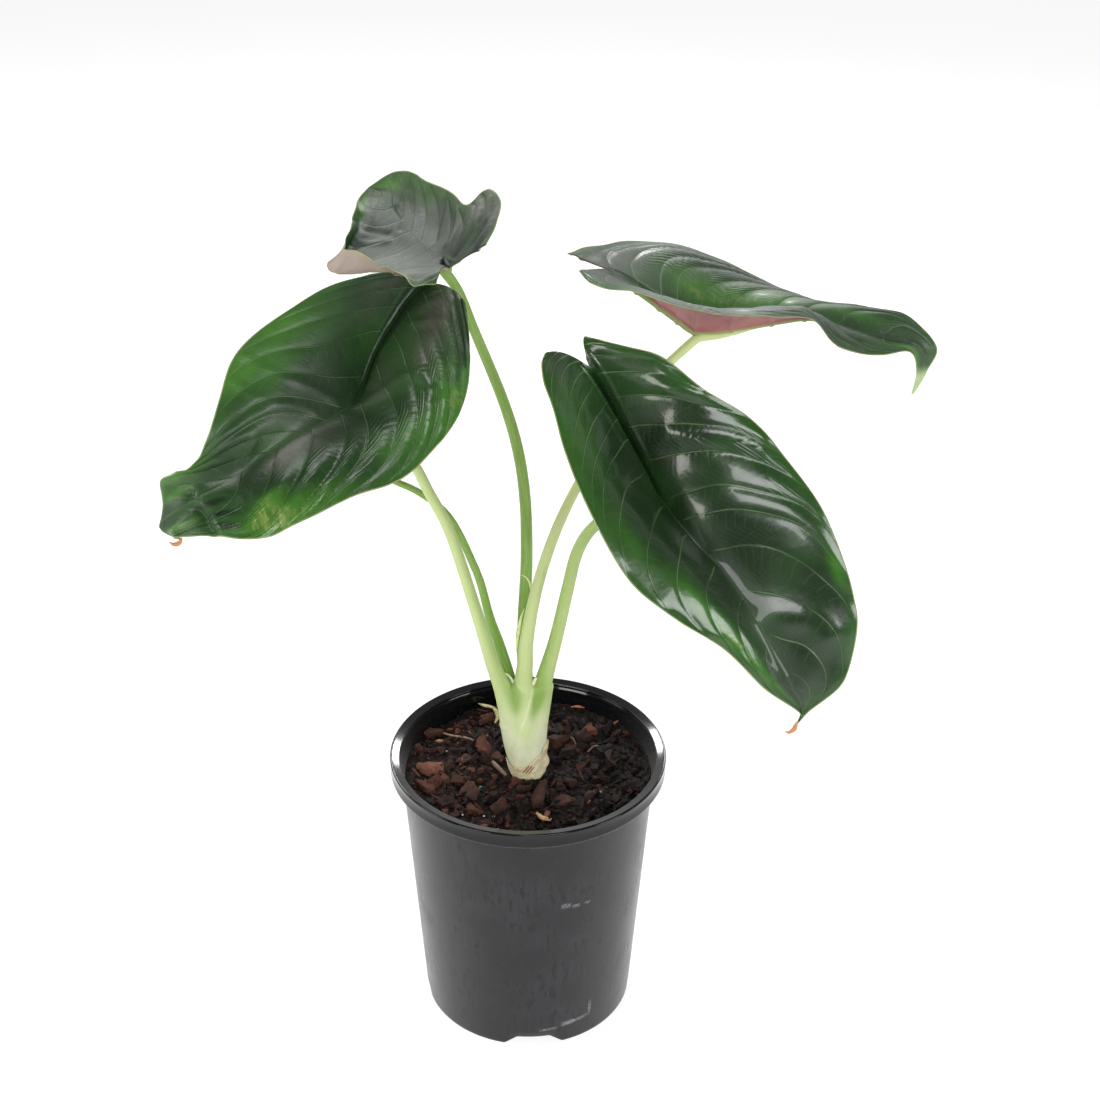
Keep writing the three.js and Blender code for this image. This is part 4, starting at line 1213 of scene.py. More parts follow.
def sheath_edges(place):
    """How far the outer sheaths stand proud of the stem under them, in millimetres."""
    x, y, z = place.T
    # Each edge shows only on the front of the stem and between the heights given here
    front = ease((2 - y) / 6)
    right = ease((x - seam_line(z)) / 0.8) * ease((273 - z) / 4) * front * ease((x + 12) / 4)
    left = ease(left_edge(x) - z) * ease((seam_line(z) - x) / 0.8) * ease((x + 17) / 4)
    left *= front * ease((z - 225) / 20)
    scar = 0.5 * bell(z - (243 + 0.3 * x), 1.6) * ease((-12 - x) / 5)
    swollen = 0.6 * lattice_noise(place, 7, 21) * ease((216 - z) / 10)
    return 1.4 * right + 0.8 * left + scar + swollen


def stem_values(place, lines):
    """Per point: share and distance along the nearest stalk, angle round it, and its greens."""
    best = np.full(len(place), 1e9)
    values = {key: np.zeros(len(place)) for key in ("share", "run", "turn", "tone", "inner")}
    for name, (line, run, length, radius) in lines.items():
        nearest = nearest_index(place, line)
        out = place - line[nearest]
        distance = np.linalg.norm(out, axis=1) - radius[nearest]
        closer = distance < best
        best[closer] = distance[closer]
        values["share"][closer] = run[nearest[closer]] / length
        values["run"][closer] = run[nearest[closer]]
        values["turn"][closer] = np.arctan2(out[closer, 1], out[closer, 0])
        values["tone"][closer] = STALK_TONE[name]
        inward = INNER_SIDE[name] * out[closer, 0] / radius[nearest[closer]]
        values["inner"][closer] = ease((inward + 0.5) / 1.3)
    x, y, z = place.T
    front = ease((2 - y) / 6)
    seam = seam_line(z)
    values["seam"] = bell(x - seam - 0.1, 0.7) * front * ease((272 - z) / 4) * ease((z - 216) / 12)
    inner_left = bell(x + 8.5, 5) * bell(z - 264, 15) * front * (x < seam) * (z < left_edge(x))
    inner_right = bell(x - seam - 6, 5) * bell(z - 263, 16) * front * (x > seam + 0.6)
    values["deep"] = np.clip(1.1 * inner_left + 1.2 * inner_right, 0, 1)
    values["inner"] *= ease((z - 250) / 20) * (1 - 0.6 * ease((z - 300) / 120))
    values["level"] = z
    return {"stem_" + key: numbers for key, numbers in values.items()}


def nearest_index(points, line):
    """Index of the line's nearest point to each of the points."""
    best = np.zeros(len(points), int)
    for start in range(0, len(points), 8000):
        block = points[start : start + 8000]
        gap = ((block[:, None] - line[None]) ** 2).sum(-1)
        best[start : start + 8000] = gap.argmin(1)
    return best


# 0 is the palest stalk and 1 the deepest green
STALK_TONE = {"left": 0.24, "right": 0.42, "top_right": 0.1, "top_left": 0.92, "hidden": 0.95}
# Which way across faces the other stalks, where a stalk is greenest; 0 for none
INNER_SIDE = {"left": 1, "right": -1, "top_right": 0, "top_left": 0, "hidden": 1}


def stem_material():
    """The skin of the stem and stalks: cream at the foot, and greener upwards."""
    shade = Shader("stalk_skin")
    level, share, tone, turn, run, deep_share = (
        shade.value("stem_" + key) for key in ("level", "share", "tone", "turn", "run", "deep")
    )
    streak_place = shade.vector(shade.times(turn, 2.2), shade.times(run, 0.02), tone)
    thread_place = shade.vector(shade.times(turn, 9), shade.times(run, 0.035), tone)
    streak = shade.noise(2.6, 4, 0.6, streak_place)
    thread = shade.noise(2.2, 3, 0.6, thread_place)
    cloud = shade.noise(45, 3)
    speck = shade.noise(420, 3, 0.6)
    upward = shade.ramp(share, 0.3, 1.0, 0.0, 0.5)
    upward = shade.times(upward, shade.ramp(tone, 0.15, 0.4, 0.2, 1.0))
    base = shade.ramp(level, 214, 276, 1.0, 0.0)
    base = shade.times(base, shade.ramp(deep_share, 0.0, 1.0, 1.0, 0.1))
    cream = shade.mix(shade.ramp(cloud, 0.35, 0.7), (0.80, 0.82, 0.60), (0.60, 0.71, 0.36))
    tan = shade.mix(shade.ramp(speck, 0.4, 0.65), (0.72, 0.62, 0.42), (0.50, 0.36, 0.22))
    pale = (0.56, 0.65, 0.31)
    colour = shade.layered(
        pale,
        (shade.ramp(tone, 0.1, 0.6), 1, (0.34, 0.475, 0.14)),
        (shade.ramp(tone, 0.6, 1.0), 1, (0.16, 0.32, 0.04)),
        (upward, 1, (0.19, 0.34, 0.055)),
        (shade.value("stem_inner"), 0.55, (0.22, 0.38, 0.06)),
        (shade.ramp(streak, 0.4, 0.75), 0.3, (0.52, 0.66, 0.33)),
        (shade.ramp(thread, 0.5, 0.7), 0.18, (0.62, 0.74, 0.42)),
        (deep_share, 0.85, (0.20, 0.36, 0.055)),
        (base, 1, cream),
        (shade.ramp(level, 197, 214, 1.0, 0.0), 0.7, tan),
        (shade.value("stem_seam"), 0.8, (0.66, 0.74, 0.42)),
    )
    shade.set(Base_Color=colour, Roughness=shade.total(0.38, (streak, 0.14)), IOR=1.42)
    shade.set(Subsurface_Weight=0.2, Subsurface_Scale=3.0 * MM)
    shade.set(Subsurface_Radius=(1.0, 0.9, 0.3))
    shade.set(Normal=shade.bump(shade.total(streak, (thread, 0.6)), 0.35 * MM, 0.7))
    return shade.material


# Pot


WALL_TAPER = (WALL_TOP_RADIUS - FOOT_RADIUS) / POT_HEIGHT


def pot_profile():
    """Points (radius, height) round the closed section of the pot, from the floor's middle out."""

    def outer(z):
        return FOOT_RADIUS + WALL_TAPER * z

    def inner(z):
        return outer(z) - WALL_THICKNESS

    band_foot = POT_HEIGHT - BAND_HEIGHT
    lip_under = POT_HEIGHT - LIP_THICKNESS
    channel = DRAIN_CHANNEL_HEIGHT
    floor_top = channel + FLOOR_THICKNESS
    # Underside of the floor, then the inside of the foot
    points = [(0.01, 0)]
    points += [(r, 0) for r in (20, 40, FLOOR_DISC_RADIUS - 1)]
    points += [(FLOOR_DISC_RADIUS, 0.2), (FLOOR_DISC_RADIUS + 4, channel)]
    points += [(inner(channel) - 1, channel), (inner(channel), channel - 0.6)]
    points += [(inner(0) + WALL_TAPER * z, z) for z in (6, 3, 1)]
    points += [(FOOT_RADIUS - WALL_THICKNESS + 0.3, 0.1), (FOOT_RADIUS - 1.0, 0)]
    # Outside of the wall, up to the lip
    points += [(FOOT_RADIUS - 0.4, 0.15), (FOOT_RADIUS - 0.05, 0.7)]
    wall = (2, 4, 6, 9, 14, 24, 40, 60, 80, 100, 120, 140, 160, 180, 192)
    points += [(outer(z), z) for z in wall]
    points += [(outer(lip_under - 1), lip_under - 1), (outer(lip_under) + 0.8, lip_under)]
    # The band under the lip, as radius and height above its foot
    points += [(97.2, lip_under), (97.8, lip_under - 0.6)]
    band = ((98.0, 0.8), (98.3, 0.1), (98.8, -0.1), (99.4, 0.1), (99.8, 0.6), (99.9, 1.4))
    points += [(radius, band_foot + rise) for radius, rise in band]
    points += [(99.75, band_foot + 2.4), (99.6, band_foot + 5)]
    points += [(99.6, POT_HEIGHT - 3), (99.85, POT_HEIGHT - 2)]
    # The lip, from its outer edge to the inside of the wall
    for step in range(7):
        angle = pi / 2 * step / 6
        across = RIM_RADIUS - LIP_ROUND + LIP_ROUND * cos(angle)
        points.append((across, POT_HEIGHT - LIP_ROUND + LIP_ROUND * sin(angle)))
    slope_start = (97.6, POT_HEIGHT - 0.26)
    points += [(98.4, POT_HEIGHT - 0.05), (98.0, POT_HEIGHT - 0.15), slope_start]
    for radius in (96.5, 95.5, 94.5, 93.7):
        points.append((radius, slope_start[1] - LIP_SLOPE * (slope_start[0] - radius)))
    inside = ((93.3, 1.26), (93.1, 1.38), (92.97, 1.6), (92.85, 2.2), (RIM_RADIUS - LIP_WIDTH, 3.4))
    points += [(radius, POT_HEIGHT - fall) for radius, fall in inside]
    # Inside of the wall, and the top of the floor
    points += [(91.6, 203.4), (90.65, 199.6)]
    points += [(inner(z), z) for z in (196, 190, 150, 100, 50, floor_top)]
    points += [(FLOOR_DISC_RADIUS, floor_top), (FLOOR_DISC_RADIUS - 2, FLOOR_THICKNESS)]
    points.append((0.01, FLOOR_THICKNESS))
    return np.array(points, float)


def pot_object():
    """The pot's section turned round, with drain notches cut in the foot of its wall."""
    profile = pot_profile()
    angle = np.linspace(0, 2 * pi, POT_SIDES, endpoint=False)
    radius = profile[:, 0][:, None] * np.ones(POT_SIDES)
    height = profile[:, 1][:, None] * np.ones(POT_SIDES)
    slope = (NOTCH_FOOT_WIDTH - NOTCH_TOP_WIDTH) / 2
    notch = np.zeros(POT_SIDES)
    for k in range(NOTCH_COUNT):
        # Angle from the middle of this notch, and the distance that it makes along the foot
        away = np.degrees(angle) - (NOTCH_AZIMUTH + 360 * k / NOTCH_COUNT)
        away = radians(1) * ((away + 180) % 360 - 180)
        offset = np.abs(FOOT_RADIUS * np.sin(away)) + 1e3 * (np.cos(away) < 0)
        cut = np.clip((NOTCH_FOOT_WIDTH / 2 - offset) / slope, 0, 1)
        notch = np.maximum(notch, NOTCH_HEIGHT * cut)
    # The wall's foot is squeezed up to the edge of the notch
    foot = (radius > FLOOR_DISC_RADIUS + 10) & (height < DRAIN_CHANNEL_HEIGHT)
    share_left = (DRAIN_CHANNEL_HEIGHT - notch[None]) / DRAIN_CHANNEL_HEIGHT
    height = np.where(foot, notch[None] + height * share_left, height)
    points = np.stack([radius * np.cos(angle), radius * np.sin(angle), height], -1)
    faces = grid_faces(len(profile), POT_SIDES, closed=True)
    made = new_object("nursery_pot", points.reshape(-1, 3), faces)
    made.data.materials.append(pot_material())
    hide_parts("pot")
    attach(made, "root")


# Chalky scuffs on the wall: angle in degrees, height, half width in degrees, half height, slope
SCUFFS = (
    (-72, 136, 3.0, 3.0, 0.0), (-67, 134, 2.5, 2.0, 0.0), (-61, 134, 2.0, 1.6, 0.0),
    (-55, 26, 1.2, 9.0, 0.0), (-63, 18.5, 9.0, 2.2, 0.16), (-68, 18, 5.0, 3.2, 0.1),
    (-79, 15, 6.0, 1.6, 0.1),
)


def scuff_share(shade, turn, z):
    """How strongly the chalky scuffs show at each point of the wall."""
    total = 0.0
    for angle, height, half_angle, half_height, slope in SCUFFS:
        half_turn = radians(half_angle)
        reach = half_height * MM
        across = shade.minus(turn, radians(angle))
        rise = shade.times(across, -slope * 180 / pi * MM)
        level = shade.plus(shade.minus(z, height * MM), rise)
        near = shade.ramp(shade.math("ABSOLUTE", across), 0.4 * half_turn, half_turn, 1.0, 0.0)
        low = shade.ramp(shade.math("ABSOLUTE", level), 0.2 * reach, reach, 1.0, 0.0)
        total = shade.plus(total, shade.times(near, low))
    return total


def pot_material():
    """Dusty plastic on the outside of the wall, and clean glossy plastic elsewhere."""
    shade = Shader("pot_plastic")
    x, y, z = shade.axes()
    turn = shade.math("ARCTAN2", y, x)

    def on_wall(round_it, up_it):
        """A place for noise, stretched by its factors for the turn round the wall and the height."""
        return shade.vector(shade.times(turn, round_it), shade.times(z, up_it))

    streak = shade.noise(1.0, 4, 0.6, on_wall(26, 14))
    drop = shade.noise(1.0, 3, 0.5, on_wall(19, 80), 0.5)
    mottle = shade.noise(28, 5, 0.6)
    speck = shade.noise(420, 3, 0.6)
    dust = shade.times(shade.ramp(mottle, 0.35, 0.7), shade.ramp(streak, 0.35, 0.65, 0.4, 1.0))
    dark = shade.times(shade.ramp(drop, 0.52, 0.64), shade.ramp(mottle, 0.42, 0.56, 0.1, 1.0))
    distance = shade.math("SQRT", shade.plus(shade.times(x, x), shade.times(y, y)))
    middle_of_wall = shade.plus((FOOT_RADIUS - 0.5) * MM, shade.times(z, WALL_TAPER))
    wall = shade.minus(distance, middle_of_wall)
    below_band = shade.ramp(z, 0.1985, 0.2005, 1.0, 0.0)
    outside = shade.times(below_band, shade.ramp(wall, -0.0002, 0.0002))
    chalk = shade.ramp(shade.noise(1.0, 5, 0.7, on_wall(160, 700)), 0.44, 0.6)
    chalk = shade.times(chalk, scuff_share(shade, turn, z), clamp=True)
    worn = shade.ramp(shade.noise(0.9, 6, 0.7, on_wall(40, 260)), 0.7, 0.8, 0.0, 0.3)
    mark = shade.times(outside, shade.plus(shade.times(chalk, 0.75), worn), clamp=True)
    body = shade.layered(
        (0.0095, 0.0085, 0.0105),
        (dust, 1, (0.022, 0.0200, 0.0235)),
        (dark, 0.8, (0.002, 0.002, 0.003)),
    )
    rim = shade.mix(shade.ramp(speck, 0.4, 0.7), (0.0015, 0.002, 0.0026), (0.004, 0.0045, 0.0055))
    colour = shade.layered(rim, (outside, 1, body), (mark, 1, (0.36, 0.38, 0.40)))
    dusty = shade.times(shade.total(dust, (dark, -0.5)), outside)
    rough = shade.total(0.09, (outside, 0.19), (mark, 0.3), (dusty, 0.16))
    height = shade.total(0.0, (speck, 0.3), (streak, 0.7), (dark, -0.4))
    shade.set(Base_Color=colour, Roughness=rough, IOR=1.5, Specular_IOR_Level=0.36)
    shade.set(Sheen_Weight=0.2, Sheen_Roughness=0.4)
    shade.set(Normal=shade.bump(shade.times(height, outside), 0.12 * MM, 0.5))
    return shade.material


# Potting mix


def mix_height(x, y):
    """Height of the surface of the fines."""
    place = np.stack([x, y, np.zeros_like(x)], -1)
    lumps = 2.0 * lattice_noise(place, 20, 1) + 1.4 * lattice_noise(place, 8, 2)
    crumbs = 0.9 * lattice_noise(place, 3.2, 3) + 0.5 * lattice_noise(place, 1.7, 4)
    return MIX_LEVEL - 0.5 + lumps + crumbs


def mix_ground():
    """The surface of fines, with a short skirt inside the pot."""
    rings = np.concatenate([[0.01], np.arange(1.0, MIX_RADIUS, 0.95), [MIX_RADIUS]])
    angle = np.linspace(0, 2 * pi, MIX_SIDES, endpoint=False)
    x = rings[:, None] * np.cos(angle)
    y = rings[:, None] * np.sin(angle)
    points = np.stack([x, y, mix_height(x, y)], -1).reshape(-1, 3)
    foot = np.full(MIX_SIDES, MIX_SKIN_FOOT)
    below = np.stack([MIX_RADIUS * np.cos(angle), MIX_RADIUS * np.sin(angle), foot], -1)
    points = np.concatenate([points, below])
    faces = grid_faces(len(rings) + 1, MIX_SIDES, closed=True)
    made = new_object("mix_fines", points, faces)
    made.data.materials.append(ground_material())
    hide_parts("potting_mix")
    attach(made, "root")


def ground_material():
    """Nearly black crumbs with some warm brown."""
    shade = Shader("mix_fines")
    grain = shade.noise(300, 6, 0.72)
    cloud = shade.noise(55, 4, 0.6)
    colour = shade.colours(grain, (
        (0.36, (0.0018, 0.0014, 0.0013)), (0.52, (0.007, 0.0048, 0.004)),
        (0.7, (0.034, 0.019, 0.013)),
    ))
    colour = shade.layered(colour, (shade.ramp(cloud, 0.5, 0.72), 0.45, (0.035, 0.015, 0.010)))
    shade.set(Base_Color=colour, Roughness=shade.ramp(grain, 0.4, 0.7, 0.5, 0.8))
    shade.set(Specular_IOR_Level=0.2)
    shade.set(Normal=shade.bump(grain, 1.6 * MM, 1.0))
    return shade.material


def chip(draw, size, wide, flat, corners=14, cuts=0):
    """One broken piece: the hull of random points in a flat box, in its own frame."""
    mesh = bmesh.new()
    spread = np.array([0.5, 0.5 * wide, 0.5 * flat]) * size
    for _ in range(corners):
        point = draw.uniform(-1, 1, 3)
        point = np.sign(point) * np.abs(point) ** 0.5
        mesh.verts.new(point * spread)
    bmesh.ops.convex_hull(mesh, input=mesh.verts)
    loose = [v for v in mesh.verts if not v.link_faces]
    bmesh.ops.delete(mesh, geom=loose, context="VERTS")
    if cuts:
        bmesh.ops.subdivide_edges(mesh, edges=mesh.edges, cuts=cuts, use_grid_fill=True)
        bmesh.ops.triangulate(mesh, faces=mesh.faces)
    mesh.verts.index_update()
    points = np.array([v.co[:] for v in mesh.verts])
    faces = [[v.index for v in f.verts] for f in mesh.faces]
    mesh.free()
    if cuts:
        shift = draw.uniform(0, 1000, 3)
        outward = points / np.maximum(np.linalg.norm(points, axis=1, keepdims=True), 1e-6)
        grain = points * (0.45, 1.1, 1.5) + shift
        rough = 0.11 * lattice_noise(grain, size * 0.24, 7)
        rough = rough + 0.055 * lattice_noise(grain, size * 0.1, 8)
        points = points + outward * size * rough[:, None]
    return points, faces


def turned(points, tilt_x, tilt_y, turn):
    """Points tilted about x and y and then turned about z."""
    cx, cy, cz = (cos(angle) for angle in (tilt_x, tilt_y, turn))
    sx, sy, sz = (sin(angle) for angle in (tilt_x, tilt_y, turn))
    about_x = np.array([[1, 0, 0], [0, cx, -sx], [0, sx, cx]])
    about_y = np.array([[cy, 0, sy], [0, 1, 0], [-sy, 0, cy]])
    about_z = np.array([[cz, -sz, 0], [sz, cz, 0], [0, 0, 1]])
    return points @ (about_z @ about_y @ about_x).T


# Bark placed one by one: x, y, length, shares of the length across and up, turn, and tone from 0,
# nearly black, to 1, pale red-brown
PLACED_CHIPS = (
    (-71, -3, 26, 0.5, 0.35, -18, 0.86), (-62, -15, 15, 0.6, 0.4, 40, 0.7),
    (-71, 45, 16, 0.6, 0.45, 30, 0.62), (-31, 26, 18, 0.75, 0.6, 60, 0.72),
    (-24, 14, 13, 0.6, 0.5, 10, 0.6), (9, -36, 30, 0.32, 0.3, 84, 0.5),
    (13, -57, 10, 0.4, 0.3, 75, 0.97), (-46, -31, 19, 0.7, 0.5, 20, 0.6),
    (-38, -36, 15, 0.6, 0.5, 70, 0.5), (-73, -25, 18, 0.6, 0.5, 130, 0.66),
    (-58, 2, 12, 0.6, 0.4, 70, 0.45), (42, 44, 18, 0.6, 0.5, 20, 0.72),
    (25, 35, 20, 0.5, 0.5, 30, 0.45), (33, 24, 22, 0.4, 0.4, 25, 0.5),
    (65, 46, 15, 0.4, 0.4, 80, 0.35), (-58, -45, 15, 0.7, 0.5, 10, 0.4),
    (-36, -52, 15, 0.6, 0.5, 0, 0.6), (26, -42, 15, 0.6, 0.4, 15, 0.55),
    (-22, -38, 17, 0.5, 0.5, 60, 0.3), (-2, -52, 13, 0.6, 0.4, 40, 0.28),
    (-3, -27, 12, 0.6, 0.4, 20, 0.55), (60, 8, 16, 0.5, 0.4, 100, 0.35),
    (52, -10, 15, 0.6, 0.4, 20, 0.42), (40, 4, 13, 0.5, 0.5, 60, 0.5),
    (28, -18, 18, 0.4, 0.4, 140, 0.4), (44, -38, 14, 0.6, 0.4, 75, 0.45),
    (-12, 52, 15, 0.6, 0.5, 15, 0.3), (10, 60, 14, 0.6, 0.5, 130, 0.4),
    (-48, 60, 14, 0.6, 0.5, 70, 0.35), (-30, -66, 13, 0.6, 0.4, 20, 0.5),
    (30, -62, 12, 0.6, 0.4, 100, 0.35), (-52, 22, 13, 0.5, 0.5, 20, 0.3),
    (-31, 64, 10, 0.7, 0.7, 30, 0.62), (-8, -16, 16, 0.55, 0.35, 20, 0.7),
    (-48, 10, 14, 0.7, 0.4, 50, 0.5),
)
PLACED_TILT = 0.15
PLACED_CUTS = 3
# Pieces strewn at random: number, least and greatest length, tilt, cuts, least and greatest share
# of the length across, the same two up, and how much paler they are
SCATTERED = (
    (40, 8, 14, 0.4, 2, 0.4, 0.85, 0.35, 0.65, 0.05),
    (300, 3.5, 8, 0.5, 1, 0.4, 0.85, 0.35, 0.7, 0.05),
    (180, 5, 15, 0.35, 0, 0.06, 0.16, 0.06, 0.13, 0.15),
    (3400, 1.0, 3.2, 0.8, 0, 0.35, 0.9, 0.35, 0.8, -0.03),
    (130, 0.7, 1.5, 0.8, 0, 0.5, 0.9, 0.5, 0.9, 0.75),
    (40, 2.0, 4.5, 0.5, 0, 0.25, 0.6, 0.2, 0.5, 0.6),
)


def mix_chips():
    """All the bark as one object: the placed pieces first, and then the strewn ones."""
    draw = np.random.default_rng(11)
    points, faces, tones, grain = [], [], [], []
    count = 0
    pieces = []
    for x, y, size, wide, flat, turn, tone in PLACED_CHIPS:
        pieces.append((x, y, size, wide, flat, radians(turn), tone, PLACED_TILT, PLACED_CUTS))
    for number, low, high, tilt, cuts, *shares, paler in SCATTERED:
        for _ in range(number):
            size = draw.uniform(low, high)
            away = (MIX_RADIUS - size * 0.6) * np.sqrt(draw.uniform(0, 1))
            angle = draw.uniform(0, 2 * pi)
            x, y = away * cos(angle), away * sin(angle)
            tone = np.clip(draw.normal(0.27 + paler - 0.0028 * x, 0.19), 0, 1)
            wide, flat = draw.uniform(*shares[:2]), draw.uniform(*shares[2:])
            if np.hypot(x, y + 2) > 13 + size * 0.4:
                pieces.append((x, y, size, wide, flat, draw.uniform(0, 2 * pi), tone, tilt, cuts))
    for x, y, size, wide, flat, turn, tone, tilt, cuts in pieces:
        own, own_faces = chip(draw, size, wide, flat, 16 if size > 3.5 else 8, cuts)
        grain.append(own + draw.uniform(0, 500, 3))
        own = turned(own, draw.normal(0, tilt), draw.normal(0, tilt), turn)
        low, high = own[:, 2].min(), own[:, 2].max()
        ground = mix_height(np.array([x]), np.array([y]))[0]
        own = own + (x, y, ground - low - (high - low) * draw.uniform(0.15, 0.4))
        faces.extend([index + count for index in face] for face in own_faces)
        points.append(own)
        tones.append(np.full(len(own), tone))
        count += len(own)
    values = {"chip_tone": np.concatenate(tones)}
    values.update(zip(("chip_x", "chip_y", "chip_z"), np.concatenate(grain).T))
    points = np.concatenate(points)
    away = np.hypot(points[:, 0], points[:, 1])
    points[:, :2] *= np.minimum(1, (MIX_RADIUS - 0.5) / away)[:, None]
    made = new_object("mix_chips", points, faces, values)
    made.data.set_sharp_from_angle(angle=radians(50))
    made.data.materials.append(chip_material())
    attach(made, "root")


def chip_material():
    """Fibrous bark, whose tone goes from nearly black to pale red-brown."""
    shade = Shader("bark")
    tone = shade.value("chip_tone")
    x, y, z = (shade.value("chip_" + axis) for axis in "xyz")
    across = shade.vector(shade.times(x, 0.16), shade.times(y, 0.9), shade.times(z, 0.9))
    fibre = shade.noise(1.0, 5, 0.65, across, 0.4)
    grain = shade.noise(520, 5, 0.68)
    cloud = shade.noise(150, 4, 0.65)
    change = shade.plus(shade.times(cloud, 0.55), shade.times(fibre, 0.55))
    shifted = shade.plus(tone, shade.minus(change, 0.58), clamp=True)
    colour = shade.colours(shifted, (
        (0.0, (0.003, 0.0022, 0.0022)), (0.25, (0.010, 0.0058, 0.005)), (0.48, (0.046, 0.019, 0.0125)),
        (0.74, (0.13, 0.047, 0.029)), (1.0, (0.31, 0.14, 0.09)),
    ))
    colour = shade.layered(
        colour,
        (shade.ramp(fibre, 0.56, 0.72, 0.0, 0.35), 1, (0.15, 0.07, 0.045)),
        (shade.ramp(grain, 0.3, 0.46, 0.7, 0.0), 1, (0.003, 0.0023, 0.0022)),
    )
    shade.set(Base_Color=colour, Roughness=shade.ramp(fibre, 0.35, 0.65, 0.55, 0.8))
    shade.set(Specular_IOR_Level=0.2)
    shade.set(Normal=shade.bump(shade.total(grain, (fibre, 0.8)), 0.9 * MM, 1.0))
    return shade.material


# Small things on the mix and the plant


def speckled(name, colour, darker, rough, scale):
    """A plain skin with specks, whose colour is `darker` times its own."""
    shade = Shader(name)
    speck = shade.noise(scale, 4, 0.6)
    specks = tuple(darker * part for part in colour)
    shade.set(Base_Color=shade.mix(shade.ramp(speck, 0.4, 0.65), colour, specks), Roughness=rough)
    shade.set(Normal=shade.bump(speck, 0.3 * MM, 0.8))
    return shade.material


def finish_piece(made, material):
    """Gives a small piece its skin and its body."""
    made.data.materials.append(material)
    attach(made, "root")


def small_tube(name, path, radii, colour, flat):
    """A thin tapered piece along a path in millimetres; `flat` squashes its section."""
    line = curve(path, np.linspace(0, 1, 40))
    size = curve(radii, np.linspace(0, 1, 40))[:, 0]
    points, faces = tube(line, size, SMALL_TUBE_SIDES)
    rings = points.reshape(len(line), SMALL_TUBE_SIDES, 3)
    upright = (rings - line[:, None])[..., 2:] * (0, 0, 1)
    rings = rings - upright * (1 - flat)
    made = new_object(name, rings.reshape(-1, 3), faces)
    finish_piece(made, speckled(name, colour, 0.55, 0.5, 500))


def closed_sheet(front, back):
    """Points and faces of a thin closed sheet from two grids of points."""
    rows, columns = front.shape[:2]
    count = rows * columns
    faces = grid_faces(rows, columns).tolist() + grid_faces(rows, columns, count, flip=True).tolist()
    border = list(range(columns))
    border += [i * columns + columns - 1 for i in range(1, rows)]
    border += [(rows - 1) * columns + j for j in range(columns - 2, -1, -1)]
    border += [i * columns for i in range(rows - 2, 0, -1)]
    for here, after in zip(border, border[1:] + border[:1]):
        faces.append((after, here, here + count, after + count))
    return np.concatenate([front.reshape(-1, 3), back.reshape(-1, 3)]), faces


def sliver(name, path, widths, colour, cup=0.5):
    """A thin scrap of sheath along a path, cupped away from the camera."""
    share = np.linspace(0, 1, 30)
    line = curve(path, share)
    wide = np.maximum(curve(widths, share)[:, 0], 0.12)
    heading = np.gradient(line, axis=0)
    side = np.cross(heading, SLIVER_FACING)
    side /= np.linalg.norm(side, axis=1, keepdims=True)
    out = np.cross(side, heading)
    out /= np.linalg.norm(out, axis=1, keepdims=True)
    across = np.linspace(-1, 1, 7)[None, :, None]
    middle = line[:, None] + across * side[:, None] * wide[:, None, None] / 2
    middle = middle - (across**2) * out[:, None] * cup * wide[:, None, None] / 2
    half = out[:, None] * SLIVER_THICKNESS / 2
    points, faces = closed_sheet(middle + half, middle - half)
    made = new_object(name, points, faces)
    finish_piece(made, speckled(name, colour, 0.8, 0.45, 300))


def bead(name, place, size, colour, rough):
    """A small lumpy pellet."""
    mesh = bmesh.new()
    bmesh.ops.create_icosphere(mesh, subdivisions=3, radius=size)
    points = np.array([v.co[:] for v in mesh.verts])
    faces = [[v.index for v in f.verts] for f in mesh.faces]
    mesh.free()
    lumpy = 1 + 0.12 * lattice_noise(points + np.array(place), size * 0.9, 3)
    made = new_object(name, points * lumpy[:, None] + place, faces)
    finish_piece(made, speckled(name, colour, 0.7, rough, 900))


def on_mix(x, y, above):
    """A point at a height above the surface of the mix."""
    return (x, y, mix_height(np.array([float(x)]), np.array([float(y)]))[0] + above)


# Twigs, husks and fibres on the mix: points (x, y, height above the mix), radii, colour, and
# height of the section as a share of its width
STREWN = {
    "twig": (
        ((-65, 47, 2), (-56, 40, 2.2), (-47, 35, 2), (-38, 29, 1.5)), (0.9, 0.8, 0.7, 0.5),
        (0.30, 0.2, 0.13), 1,
    ),
    "stick": (
        ((-27, 6, 2), (-22, -3, 2.4), (-14, -13, 1.8)), (1.6, 1.7, 1.1), (0.2, 0.12, 0.085), 1,
    ),
    "husk": (
        ((-38, 80, 4), (-33, 74, 5.5), (-26, 73, 6), (-23, 66, 3.5), (-25, 59, 1)),
        (0.6, 1.6, 1.4, 1.7, 0.7), (0.62, 0.58, 0.28), 0.5,
    ),
    "fibre_orange": (
        ((33, 77, 3), (38, 75, 3.6), (43, 75, 3)), (0.5, 1.0, 0.4), (0.45, 0.13, 0.045), 1,
    ),
    "fibre_right": (
        ((58, 50, 2.5), (63, 52, 4), (68, 55, 4)), (0.4, 1.1, 0.5), (0.3, 0.1, 0.05), 1,
    ),
    "fibre_tan": (
        ((-69, 34, 2), (-66, 32, 2.6), (-63, 33, 2)), (0.5, 1.3, 0.5), (0.5, 0.26, 0.12), 1,
    ),
    "yellow_chip": (
        ((6, -56, 2.5), (10, -61, 3.5), (16, -64, 2.5)), (0.9, 2.0, 1.5), (0.62, 0.36, 0.15), 0.6,
    ),
    "loop_fibre": (
        ((22, 30, 2), (27, 35, 4), (33, 34, 4.5), (36, 28, 2)), (0.5, 0.6, 0.6, 0.4),
        (0.2, 0.12, 0.07), 1,
    ),
    "loop_small": (
        ((44, 18, 2), (49, 23, 4), (54, 20, 4), (55, 14, 2)), (0.5, 0.6, 0.6, 0.4),
        (0.16, 0.10, 0.06), 1,
    ),
}
